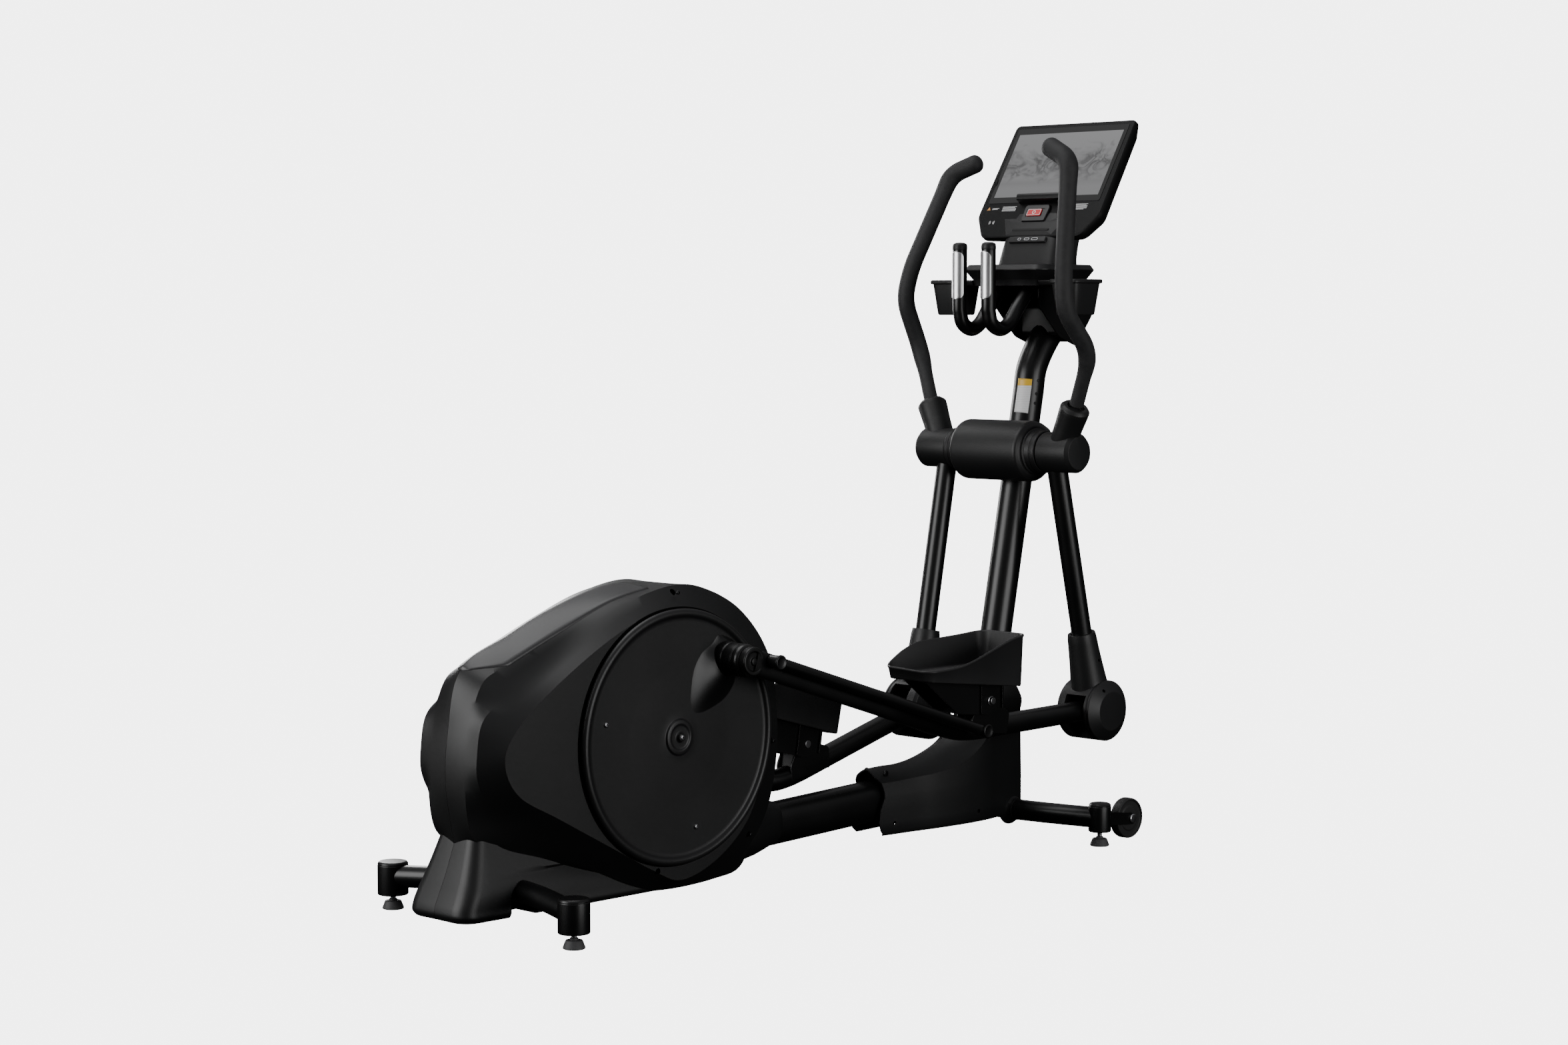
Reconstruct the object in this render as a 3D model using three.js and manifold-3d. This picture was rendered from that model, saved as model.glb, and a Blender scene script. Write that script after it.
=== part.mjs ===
import * as THREE from 'three';
import { mergeVertices } from 'three/addons/utils/BufferGeometryUtils.js';
import Module from 'manifold-3d';

// Elliptical trainer. Millimetres: X runs forward to the console, Y to the user's left, Z up from the floor.
// X is counted from the back of the rear skirt; the row's origin is moved to the middle of the length.
const X_MID = 1094;
const GAP = 0.5;
const FINENESS = 0.12;

// Crank, rocking arm and pedal beam: a four-bar linkage on each side, the two sides half a turn apart.
const CRANK = { x: 601.4, z: 384.5, throw: 214.7, rightDeg: 50.1 };
const SHOULDER = { x: 1851.5, z: 976.5 };
const ARM_LENGTH = 670.1;
const COUPLER = 1277.7;
const BEAM_VERTEX = { x: -506, z: -100 };
const PEDAL_PIVOT = { x: -434.6, z: -14.5 };
const LEFT_PEDAL_DEG = 9;

// Frame tubes.
const MAST_RADIUS = 39;
const MAIN_BEAM = { width: 70, height: 100, z: 130, atX: 1200, riseDeg: 2.5 };
const ARM_TUBE_Y = 184;
const DISC_RADIUS = 286;
const FACE_Y = 138;

// Console plane: its origin, its upward direction and its direction away from the user.
const FACE = { x: 2018, z: 1615.5, up: [0.527, 0.85], away: [0.85, -0.527] };

const wasm = await Module();
wasm.setup();
const group = new THREE.Group();
const V = (x, y, z) => new THREE.Vector3(x, y, z);
const facets = (n) => 4 * Math.round(n * 0.17);
const rad = (deg) => (deg * Math.PI) / 180;
const range = (n) => Array.from({ length: n }, (_, i) => i);

const LOOKS = {
  steel: ['#17181a', 0.45, 0.6],
  plastic: ['#1b1c1e', 0.7, 0],
  rubber: ['#2a2b2d', 0.9, 0],
  silver: ['#b9bbbd', 0.35, 0.9],
  screen: ['#8c9094', 0.2, 0],
  red: ['#b3121b', 0.4, 0],
};

// ---------- Shape helpers ----------

// Manifold from any closed geometry, with its faces turned outwards.
function solid(geometry) {
  const bare = new THREE.BufferGeometry();
  bare.setAttribute('position', geometry.attributes.position.clone());
  if (geometry.index) bare.setIndex(geometry.index.clone());
  const merged = mergeVertices(bare, 1e-3);
  const position = merged.attributes.position;
  const index = merged.index.array;
  const triangles = [];
  let volume = 0;
  const [a, b, c] = [V(), V(), V()];
  for (let i = 0; i < index.length; i += 3) {
    const [p, q, r] = [index[i], index[i + 1], index[i + 2]];
    if (p === q || q === r || r === p) continue;
    triangles.push([p, q, r]);
    a.fromBufferAttribute(position, p);
    b.fromBufferAttribute(position, q);
    c.fromBufferAttribute(position, r);
    volume += a.dot(b.cross(c));
  }
  const turned = volume < 0 ? triangles.map(([p, q, r]) => [p, r, q]) : triangles;
  return new wasm.Manifold(new wasm.Mesh({
    numProp: 3,
    vertProperties: new Float32Array(position.array),
    triVerts: new Uint32Array(turned.flat()),
  }));
}

const join = (...shapes) => shapes.reduce((sum, shape) => sum.add(shape));
const cut = (shape, ...tools) => tools.reduce((rest, tool) => rest.subtract(tool), shape);
const mirrored = (shape, side) => (side > 0 ? shape : shape.mirror([0, 1, 0]));

// One named sub-part.
function part(name, shape, look) {
  const mesh = shape.simplify(FINENESS).getMesh();
  const geometry = new THREE.BufferGeometry();
  geometry.setAttribute('position', new THREE.BufferAttribute(new Float32Array(mesh.vertProperties), 3));
  geometry.setIndex(Array.from(mesh.triVerts));
  geometry.translate(-X_MID, 0, 0);
  const flat = geometry.toNonIndexed();
  flat.computeVertexNormals();
  const [color, roughness, metalness] = LOOKS[look];
  const object = new THREE.Mesh(flat, new THREE.MeshStandardMaterial({ color, roughness, metalness }));
  object.name = name;
  group.add(object);
}

// Closed solid through rings that all have the same number of points.
function loft(rings) {
  const n = rings[0].length;
  const points = rings.flat();
  const index = [];
  for (let r = 0; r + 1 < rings.length; r++) {
    for (let i = 0; i < n; i++) {
      const [p, q] = [r * n + i, r * n + ((i + 1) % n)];
      index.push(p, q, q + n, p, q + n, p + n);
    }
  }
  for (const [start, flip] of [[0, true], [(rings.length - 1) * n, false]]) {
    const centre = V(0, 0, 0);
    range(n).forEach((i) => centre.addScaledVector(points[start + i], 1 / n));
    points.push(centre);
    for (let i = 0; i < n; i++) {
      const edge = [start + i, start + ((i + 1) % n)];
      index.push(...(flip ? [edge[1], edge[0]] : edge), points.length - 1);
    }
  }
  const geometry = new THREE.BufferGeometry();
  geometry.setAttribute('position', new THREE.Float32BufferAttribute(points.flatMap((p) => p.toArray()), 3));
  geometry.setIndex(index);
  return solid(geometry);
}

// Round or squarish section: half sizes a and b, squarer with a higher power.
function section(n, a, b = a, power = 2) {
  const bulge = (value) => Math.sign(value) * Math.abs(value) ** (2 / power);
  const count = facets(n);
  return range(count).map((i) => {
    const angle = (2 * Math.PI * (i + 0.5)) / count;
    return [a * bulge(Math.cos(angle)), b * bulge(Math.sin(angle))];
  });
}

// Tube along a path of points; the section's first direction stays close to side.
function sweep(path, sections, side = V(0, 1, 0)) {
  const last = path.length - 1;
  return loft(path.map((point, i) => {
    const along = path[Math.min(i + 1, last)].clone().sub(path[Math.max(i - 1, 0)]).normalize();
    const across = side.clone().addScaledVector(along, -side.dot(along)).normalize();
    const up = along.clone().cross(across);
    const outline = typeof sections === 'function' ? sections(i / last, i) : sections;
    return outline.map(([a, b]) => point.clone().addScaledVector(across, a).addScaledVector(up, b));
  }));
}

const smooth = (points, n) => new THREE.CatmullRomCurve3(points, false, 'centripetal').getPoints(n);

// Body turned about a line along Y; each profile point is [radius, y].
function turned(profile, x, z, n = 24) {
  const points = profile.map(([r, y]) => new THREE.Vector2(r, y));
  return solid(new THREE.LatheGeometry(points, facets(n)).translate(x, 0, z));
}

// Body turned about an upright line; each profile point is [radius, z].
function upright(profile, x, y, n = 18) {
  const points = profile.map(([r, z]) => new THREE.Vector2(r, z));
  return solid(new THREE.LatheGeometry(points, facets(n)).rotateX(Math.PI / 2).translate(x, y, 0));
}

const drum = (r, y0, y1, x, z, n = 24) => turned([[0, y0], [r, y0], [r, y1], [0, y1]], x, z, n);

function box(x0, x1, y0, y1, z0, z1) {
  const geometry = new THREE.BoxGeometry(x1 - x0, y1 - y0, z1 - z0);
  return solid(geometry.translate((x0 + x1) / 2, (y0 + y1) / 2, (z0 + z1) / 2));
}

// Plate with an outline in X and Z, between two values of Y.
function plate(outline, y0, y1) {
  const shape = outline instanceof THREE.Shape ? outline : new THREE.Shape(outline.map(([x, z]) => new THREE.Vector2(x, z)));
  const geometry = new THREE.ExtrudeGeometry(shape, { depth: y1 - y0, bevelEnabled: false, curveSegments: 7 });
  return solid(geometry.rotateX(Math.PI / 2).translate(0, y1, 0));
}

// Round-ended link between two circles.
function linkShape(x1, z1, r1, x2, z2, r2) {
  const heading = Math.atan2(z2 - z1, x2 - x1);
  const lean = Math.acos((r1 - r2) / Math.hypot(x2 - x1, z2 - z1));
  const shape = new THREE.Shape();
  shape.absarc(x1, z1, r1, heading + lean, heading - lean + 2 * Math.PI, false);
  shape.absarc(x2, z2, r2, heading - lean, heading + lean, false);
  return shape;
}

// Block with rounded plan corners, between two heights.
function roundedBlock(x0, x1, y0, y1, z0, z1, r) {
  const shape = new THREE.Shape();
  shape.absarc(x1 - r, y1 - r, r, 0, Math.PI / 2, false);
  shape.absarc(x0 + r, y1 - r, r, Math.PI / 2, Math.PI, false);
  shape.absarc(x0 + r, y0 + r, r, Math.PI, 1.5 * Math.PI, false);
  shape.absarc(x1 - r, y0 + r, r, 1.5 * Math.PI, 2 * Math.PI, false);
  const geometry = new THREE.ExtrudeGeometry(shape, { depth: z1 - z0, bevelEnabled: false, curveSegments: 4 });
  return solid(geometry.translate(0, 0, z0));
}

// Turn about Y (positive lifts the front) and move to a point.
function placed(shape, deg, x, z) {
  const matrix = new THREE.Matrix4().makeRotationY(-rad(deg)).setPosition(x, 0, z);
  return shape.transform(matrix.elements);
}

// ---------- Frame ----------

const beamZ = (x) => MAIN_BEAM.z + (x - MAIN_BEAM.atX) * Math.tan(rad(MAIN_BEAM.riseDeg));
const mastX = (z) => 1844.5 + 0.2 * (z - 563.5);

const rearPath = smooth([V(153, -305, 74), V(190, -140, 84), V(197, 0, 88), V(190, 140, 84), V(153, 305, 74)], 8);
const frontPath = smooth([V(1890, -296, 70), V(1852, -120, 70), V(1840, 0, 70), V(1852, 120, 70), V(1890, 296, 70)], 8);
const rearTube = (grow) => sweep(rearPath, section(16, 25 + grow), V(0, 0, 1));
const frontTube = (grow) => sweep(frontPath, section(16, 26 + grow), V(0, 0, 1));

// Main beam: one oval tube low down between the two cross tubes.
const mainSection = (grow) => section(20, MAIN_BEAM.width / 2 + grow, MAIN_BEAM.height / 2 + grow, 2.6);
const mainBeam = (grow) => sweep([V(206, 0, beamZ(206)), V(1852, 0, beamZ(1852))], mainSection(grow));
const mainBore = sweep([V(150, 0, beamZ(150)), V(1900, 0, beamZ(1900))], section(20, 31, 46, 2.6));
part('main_beam', cut(mainBeam(0), mainBore, rearTube(GAP)), 'steel');

// Mast: leans forward, then bends towards the console.
const mastPath = [V(mastX(216), 0, 216), ...smooth([
  V(mastX(1120), 0, 1120), V(mastX(1180), 0, 1180), V(2003.5, 0, 1239), V(2042.5, 0, 1283), V(2100, 0, 1350),
], 7)];
const mast = (grow) => sweep([...mastPath.slice(0, -1), V(2100 + grow, 0, 1350 + 1.2 * grow)],
  section(24, MAST_RADIUS + grow));
const mastBore = sweep([V(mastX(190), 0, 190), ...mastPath.slice(1, -1), V(2112, 0, 1364)], section(24, MAST_RADIUS - 4));
part('mast', cut(mast(0), mastBore), 'steel');

// Cross tubes with round end housings; the front ones also carry the transport wheels.
const footHole = (x, y) => upright([[0, 0], [5.6, 0], [5.6, 68], [0, 68]], x, y, 12);
const endHousing = (r, x, y, z0) => upright([[0, z0], [r - 4, z0], [r, z0 + 4], [r, 98], [r - 9, 107.5], [0, 107.5]], x, y, 20);
const REAR_FOOT = { x: 153, y: 305 };
const FRONT_FOOT = { x: 1890, y: 296 };
const WHEEL = { x: 1990, y: 300, z: 59.5, radius: 50.5, width: 26 };

const rearPods = [-1, 1].map((s) => endHousing(34.5, REAR_FOOT.x, s * REAR_FOOT.y, 33));
const rearHoles = [-1, 1].map((s) => footHole(REAR_FOOT.x, s * REAR_FOOT.y));
part('rear_stabiliser', cut(join(rearTube(0), ...rearPods), ...rearHoles), 'steel');

const forks = [-1, 1].map((s) => mirrored(join(
  endHousing(28, FRONT_FOOT.x, FRONT_FOOT.y, 36),
  plate(linkShape(1895, 70, 16, WHEEL.x, WHEEL.z, 13), WHEEL.y - 20, WHEEL.y - 16),
  plate(linkShape(1895, 70, 16, WHEEL.x, WHEEL.z, 13), WHEEL.y + 16, WHEEL.y + 20),
  drum(6, WHEEL.y - 24, WHEEL.y + 24, WHEEL.x, WHEEL.z, 16),
), s));
const frontHoles = [-1, 1].map((s) => footHole(FRONT_FOOT.x, s * FRONT_FOOT.y));
const saddle = box(1818, 1862, -28, 28, 85, 107);
part('front_stabiliser', cut(join(frontTube(0), saddle, ...forks), ...frontHoles, mainBeam(GAP)), 'steel');

for (const [side, word] of [[1, 'left'], [-1, 'right']]) {
  const wheel = turned([
    [7, -13], [47, -13], [50.5, -8], [50.5, 8], [47, 13], [7, 13], [7, -13],
  ], WHEEL.x, WHEEL.z);
  part(`transport_wheel_${word}`, wheel.translate([0, side * WHEEL.y, 0]), 'rubber');
  for (const [place, foot] of [['rear', REAR_FOOT], ['front', FRONT_FOOT]]) {
    const pad = [[0, 0], [24, 0], [24, 5], [17, 15], [9, 16], [9, 22], [5, 22], [5, 62], [0, 62]];
    part(`foot_${place}_${word}`, upright(pad, foot.x, side * foot.y, 14), 'rubber');
  }
}

// Front cover: a shell over the foot of the mast, swept up along it. Each station is
// [x, top, half width at the top, crease height, half width at the crease, half width below].
const COVER = [
  [1358, 218, 20, 196, 42, 48], [1475, 217, 22, 182, 52, 58], [1550, 228, 24, 172, 68, 74],
  [1640, 264, 30, 213, 70, 76], [1724, 318, 38, 270, 68, 72], [1768, 402, 43, 310, 60, 64],
  [1846, 402, 43, 320, 52, 54], [1878, 330, 40, 290, 44, 46],
];
const coverRing = ([x, top, wTop, crease, wCrease, wLow], inset, low, shift = 0) => {
  const half = [
    [wTop - inset, top - inset], [wCrease - inset, crease - inset / 2], [wLow - inset, 150], [wLow - inset, low + 8],
    [wLow - inset - 6, low],
  ];
  const back = half.map(([y, z]) => [-y, z]).reverse();
  return [...half, ...back].map(([y, z]) => V(x + shift, y, z));
};
const coverOuter = loft(COVER.map((station) => coverRing(station, 0, 58)));
const coverInner = loft(COVER.map((station, i) => coverRing(station, 4, 20, [-6, 0, 0, 0, 0, 4, -4, -4][i])));
part('front_cover', cut(coverOuter, coverInner, mast(0.6), frontTube(1.5), mainBeam(0.8)), 'plastic');

// ---------- Rear shroud ----------

// Radius of a smooth closed outline, as a function of the angle about a centre.
const SHROUD_CENTRE = { x: 470, z: 330 };
function polar(outline) {
  const curve = new THREE.CatmullRomCurve3(outline.map(([x, z]) => V(x, 0, z)), true, 'centripetal');
  const points = curve.getPoints(outline.length * 10).map((p) => [p.x - SHROUD_CENTRE.x, p.z - SHROUD_CENTRE.z]);
  return (angle) => {
    const [cos, sin] = [Math.cos(angle), Math.sin(angle)];
    let best = 0;
    for (let i = 0; i + 1 < points.length; i++) {
      const [[ax, az], [bx, bz]] = [points[i], points[i + 1]];
      const [sideA, sideB] = [az * cos - ax * sin, bz * cos - bx * sin];
      if (sideA * sideB > 0 || sideA === sideB) continue;
      const t = sideA / (sideA - sideB);
      best = Math.max(best, (ax + (bx - ax) * t) * cos + (az + (bz - az) * t) * sin);
    }
    return best;
  };
}
const FRONT_EDGE = [[645, 718], [736, 702], [844, 646], [930, 542], [957, 416], [956, 292], [921, 170]];
const BOTTOM_EDGE = [[875, 52], [790, 32], [480, 30], [180, 30], [92, 33], [16, 42]];
const OUTLINES = {
  seam: polar([...FRONT_EDGE, ...BOTTOM_EDGE, [6, 72], [78, 200], [60, 318], [66, 430], [101, 562], [238, 628],
    [344, 672], [500, 715]]),
  crown: polar([...FRONT_EDGE, ...BOTTOM_EDGE, [10, 72], [80, 200], [63, 318], [72, 430], [112, 540], [165, 568],
    [330, 640], [472, 694], [566, 712]]),
  edge: polar([...FRONT_EDGE, ...BOTTOM_EDGE, [20, 72], [84, 200], [68, 318], [71, 389], [84, 462], [136, 502],
    [262, 566], [454, 673]]),
  pod: polar([...FRONT_EDGE, [850, 90], [700, 44], [570, 40], [490, 64], [373, 124], [259, 185], [155, 238], [97, 285],
    [69, 339], [71, 389], [84, 462], [136, 502], [262, 566], [454, 673]]),
  face: polar([[880, 350], [868, 270], [820, 170], [720, 92], [610, 62], [531, 92], [452, 134], [374, 176], [253, 243],
    [149, 298], [116, 345], [110, 390], [140, 440], [225, 509], [415, 620], [533, 662], [640, 668], [740, 634],
    [815, 575], [865, 480]]),
};
const shroudRing = (outline, y, inset, n = 40) => range(n).map((i) => {
  const angle = (2 * Math.PI * i) / n;
  const radius = OUTLINES[outline](angle) - inset;
  return V(SHROUD_CENTRE.x + radius * Math.cos(angle), y, SHROUD_CENTRE.z + radius * Math.sin(angle));
});
const shroudBody = (y0, inset) => loft([
  shroudRing('seam', y0, inset), shroudRing('crown', 65, inset), shroudRing('edge', 97 - inset, inset),
]);
const shroudPod = (inset) => loft([shroudRing('pod', 88 - inset, inset), shroudRing('pod', 95 - inset, inset),
  shroudRing('face', FACE_Y - inset, inset)]);
const shroudWhole = (y0, inset) => join(shroudBody(y0, inset), shroudPod(inset));
const stabiliserArch = plate([[160, 0], [226, 0], [226, 84], [210, 114], [176, 114], [160, 84]], -150, 150);
const shroudHalf = cut(shroudWhole(GAP, 0), shroudWhole(-5, 4), drum(30, 120, 150, CRANK.x, CRANK.z),
  stabiliserArch, mainBeam(1));
part('shroud_left', shroudHalf, 'plastic');
part('shroud_right', mirrored(shroudHalf, -1), 'plastic');

// Crown band: a thin panel that covers the seam along the top.
const crownSlab = loft([-58, 58].map((y) => shroudRing('crown', y, -7)));
const crownWindow = box(104, 580, -58, 58, 480, 800);
const shroudBlock = join(shroudWhole(-1, -2), mirrored(shroudWhole(-1, -2), -1));
const crownSkin = join(shroudWhole(-1, -5), mirrored(shroudWhole(-1, -5), -1));
part('crown_band', cut(crownSkin.intersect(crownWindow), shroudBlock), 'plastic');

// ---------- Drive inside the shroud ----------

const PULLEY_RADIUS = 140;
const FLYWHEEL = { x: 300, z: 395, radius: 125, pulley: 22, width: 44 };
const BELT = { y0: 49, y1: 61, thickness: 3 };
const bearer = (x, z, r) => [-34, 28].map((y) => plate(
  [[x - 70, 164], [x + 70, 164], [x + r, z], [x - r, z]], y, y + 6,
));
part('crank_carrier', cut(join(
  box(232, 700, -34, 34, 160, 166),
  ...bearer(CRANK.x, CRANK.z, 28), ...bearer(FLYWHEEL.x, FLYWHEEL.z, 16),
  drum(28, -38, 38, CRANK.x, CRANK.z, 24),
  ...[-34, 28].map((y) => drum(16, y, y + 6, FLYWHEEL.x, FLYWHEEL.z, 24)),
), drum(12.5, -50, 50, CRANK.x, CRANK.z, 24), drum(8.5, -50, 50, FLYWHEEL.x, FLYWHEEL.z, 24)), 'steel');
part('crank_axle', turned([
  [0, -140.5], [12, -140.5], [12, 53], [128, 53], [128, 49], [PULLEY_RADIUS, 49],
  [PULLEY_RADIUS, 61], [128, 61], [128, 57], [12, 57], [12, 140.5], [0, 140.5],
], CRANK.x, CRANK.z, 28), 'steel');
part('flywheel', turned([
  [0, -40], [8, -40], [8, -8], [95, -8], [95, -22], [FLYWHEEL.radius, -22],
  [FLYWHEEL.radius, 22], [95, 22], [95, 8], [8, 8], [8, 49], [FLYWHEEL.pulley, 49],
  [FLYWHEEL.pulley, 61], [0, 61],
], FLYWHEEL.x, FLYWHEEL.z, 28), 'steel');
const beltLoop = (grow, y0, y1) => plate(
  linkShape(CRANK.x, CRANK.z, PULLEY_RADIUS + grow, FLYWHEEL.x, FLYWHEEL.z, FLYWHEEL.pulley + grow), y0, y1,
);
part('drive_belt', cut(beltLoop(2.6 + BELT.thickness, BELT.y0, BELT.y1), beltLoop(2.6, 0, 100)), 'rubber');

// ---------- Crank discs and arms ----------

const crankPin = (deg) => ({
  x: CRANK.x + CRANK.throw * Math.cos(rad(deg)),
  z: CRANK.z + CRANK.throw * Math.sin(rad(deg)),
});
for (const [side, word, deg] of [[-1, 'right', CRANK.rightDeg], [1, 'left', CRANK.rightDeg + 180]]) {
  const disc = turned([
    [0, 141], [283, 141], [DISC_RADIUS, 147], [279, 155], [264, 155], [254, 147], [42, 147], [37, 152], [0, 152],
  ], CRANK.x, CRANK.z, 48);
  part(`crank_disc_${word}`, mirrored(disc, side), 'plastic');
  const pin = crankPin(deg);
  const inner = { x: CRANK.x + (pin.x - CRANK.x) * 0.42, z: CRANK.z + (pin.z - CRANK.z) * 0.42 };
  const arm = join(
    plate(linkShape(inner.x, inner.z, 24, pin.x, pin.z, 36), 147.4, 172),
    turned([[0, 160], [34, 160], [32, 222], [29, 226], [0, 226]], pin.x, pin.z),
  );
  part(`crank_arm_${word}`, mirrored(arm, side), 'steel');
}

// ---------- Shoulder ----------

const hubOuter = join(
  drum(76, -115, 115, SHOULDER.x, SHOULDER.z, 32),
  plate([[1852, 904], [1915, 912], [1950, 935], [1958, 985], [1938, 1030], [1900, 1050], [1852, 1050]], -98, 98),
);
const hubInner = join(
  drum(71, -110, 110, SHOULDER.x, SHOULDER.z, 32),
  plate([[1852, 910], [1912, 918], [1945, 938], [1952, 985], [1933, 1026], [1898, 1044], [1852, 1044]], -93, 93),
);
const collars = [-1, 1].map((s) => mirrored(turned([[0, 112], [53, 112], [53, 146], [50, 149.5], [0, 149.5]],
  SHOULDER.x, SHOULDER.z), s));
part('hub_shell', cut(join(cut(hubOuter, hubInner), ...collars), mast(0.6),
  drum(12.4, -200, 200, SHOULDER.x, SHOULDER.z, 24)), 'plastic');
part('shoulder_axle', drum(12, -249, 249, SHOULDER.x, SHOULDER.z, 24), 'steel');

// ---------- Rocking arms, pedal beams and pedals ----------

// Lower end of an arm from its crank pin: where the arm's and the coupler's circles meet below and ahead.
function knuckleFor(pin) {
  const [dx, dz] = [pin.x - SHOULDER.x, pin.z - SHOULDER.z];
  const d = Math.hypot(dx, dz);
  const along = (ARM_LENGTH ** 2 - COUPLER ** 2 + d * d) / (2 * d);
  const off = Math.sqrt(ARM_LENGTH ** 2 - along * along);
  return { x: SHOULDER.x + (along * dx - off * dz) / d, z: SHOULDER.z + (along * dz + off * dx) / d };
}

// Arm parts, hanging straight down from an origin on the shoulder axle.
const armHub = join(
  turned([[0, 250.5], [12.5, 250.5], [12.5, 150.5], [50, 150.5], [50, 246], [40, 256], [0, 256]], 0, 0),
  sweep([V(0, 214, 20), V(5, 258, 114)], section(24, 36)),
);
const armHubBored = cut(armHub, drum(12.5, 140, 250.5, 0, 0));
const swingTube = cut(sweep([V(0, 177, -30), V(0, 184, 62 - ARM_LENGTH)], section(24, 25.5)), drum(50.4, 140, 260, 0, 0),
  sweep([V(0, 177, -20), V(0, 184.2, 40 - ARM_LENGTH)], section(24, 22)));
const GRIP_LINE = smooth([V(5.4, 262, 122), V(11, 300, 200), V(8, 322, 260), V(-64, 329, 368), V(-62, 329, 470),
  V(-8, 322, 600), V(42, 314, 713), V(50, 296, 745)], 16);
const gripRadius = (u) => {
  const grip = 17.5 + 3 * THREE.MathUtils.smoothstep(u, 0.12, 0.2);
  const head = 11 * THREE.MathUtils.smoothstep(u, 0.86, 0.95);
  return (grip + head) * (u > 0.999 ? 0.75 : 1);
};
const handle = sweep(GRIP_LINE, (u) => section(16, gripRadius(u)));

const slotFrom = 157;
const slotTo = 214;
const polarPoint = (r, deg, x = 0, z = 0) => [x + r * Math.cos(rad(deg)), z + r * Math.sin(rad(deg))];
const slotTop = polarPoint(29, slotFrom - 90);
const slotLow = polarPoint(29, slotTo + 90);
const slotOutline = [
  slotTop, polarPoint(110, slotFrom, ...slotTop), polarPoint(125, 185), polarPoint(110, slotTo, ...slotLow), slotLow,
].map(([x, z]) => [x, z - ARM_LENGTH]);
const knuckleBody = cut(
  join(
    turned([[0, 124], [70, 124], [76.5, 130], [76.5, 230], [48, 247], [0, 247]], 0, -ARM_LENGTH, 32),
    sweep([V(0, 181, -469), V(0, 182, -540), V(0, 183, -600), V(0, 184, -640)],
      (u) => section(24, [35.5, 38, 44, 50][Math.round(u * 3)], [35.5, 38, 45.5, 50][Math.round(u * 3)], 2.4)),
  ),
  sweep([V(0, 181.7, -420), V(0, 184, 60 - ARM_LENGTH)], section(24, 26.2)),
  drum(58, 153, 215, 0, -ARM_LENGTH, 24),
  plate(slotOutline, 153, 215),
);
const knuckle = join(knuckleBody, drum(10, 140, 240, 0, -ARM_LENGTH, 20));

// Pedal beam, from an origin at the knuckle back to the crank pin at x = -COUPLER. Each station is
// [x, y, z, half width, half height].
const rearAt = (t, lift = 0) => {
  const [dx, dz] = [BEAM_VERTEX.x + COUPLER, BEAM_VERTEX.z];
  const d = Math.hypot(dx, dz);
  return { x: -COUPLER + (t * dx - lift * dz) / d, z: (t * dz + lift * dx) / d };
};
const rearStation = (t, y, a, b) => [rearAt(t).x, y, rearAt(t).z, a, b];
const BEAM_STATIONS = [
  [0, 184, 0, 26, 26], [-430, 184, -85, 26, 26], [-470, 184, -91, 26, 26], [-510, 185, -94, 26, 26],
  [-550, 188, -91.5, 26, 26], rearStation(690, 193, 25.5, 26), rearStation(600, 214, 19, 28),
  rearStation(545, 228, 13.5, 29), rearStation(495, 237, 9.5, 30), rearStation(6, 237, 9.5, 29),
];
const beamTube = (grow) => sweep(BEAM_STATIONS.map(([x, y, z]) => V(x, y, z)),
  (u, i) => section(20, BEAM_STATIONS[i][3] + grow, BEAM_STATIONS[i][4] + grow, i > 6 ? 2.8 : 2.2));
const pedalBeam = cut(join(
  beamTube(0), drum(31, 156, 212, 0, 0, 20),
  turned([[0, 227.3], [31, 227.3], [31, 246.3], [22, 246.3], [20, 242], [10, 242], [10, 247], [0, 247]], -COUPLER, 0),
), drum(10.6, 140, 240, 0, 0, 20));

const [rodRear, rodFront] = [rearAt(49, 12), rearAt(783, 12)];
const rodBoss = (at) => turned([[0, 247.4], [15, 247.4], [15, 277], [13, 280], [0, 280]], at.x, at.z, 16);
const controlRod = cut(join(
  sweep([V(rodRear.x, 262, rodRear.z), V(rodFront.x, 262, rodFront.z)], section(14, 13.5)),
  rodBoss(rodRear), rodBoss(rodFront), drum(11, 200, 262, rodFront.x, rodFront.z, 12),
), beamTube(GAP), drum(31.4, 220, 247.2, -COUPLER, 0));

const cheek = [[-350, -88], [-350, -36], [PEDAL_PIVOT.x + 20, -12], [PEDAL_PIVOT.x + 8, 4], [PEDAL_PIVOT.x - 8, 4],
  [PEDAL_PIVOT.x - 20, -12], [-484, -62], [-484, -100]];
const pedalBracket = cut(
  join(
    cut(plate(cheek, 150, 218), plate([[-300, -27.5], [-300, 60], [-600, 60], [-600, -61], [-520, -62]], 155, 213)),
    drum(6, 146, 222, PEDAL_PIVOT.x, PEDAL_PIVOT.z, 16),
    drum(11, 218, 224, PEDAL_PIVOT.x, PEDAL_PIVOT.z, 6), drum(11, 144, 150, PEDAL_PIVOT.x, PEDAL_PIVOT.z, 6),
  ),
  beamTube(GAP),
  plate([[-600, -200], [-300, -200], [-300, -59.5], [-436, -86], [-600, -92]], 157.6, 210.4),
);

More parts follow.
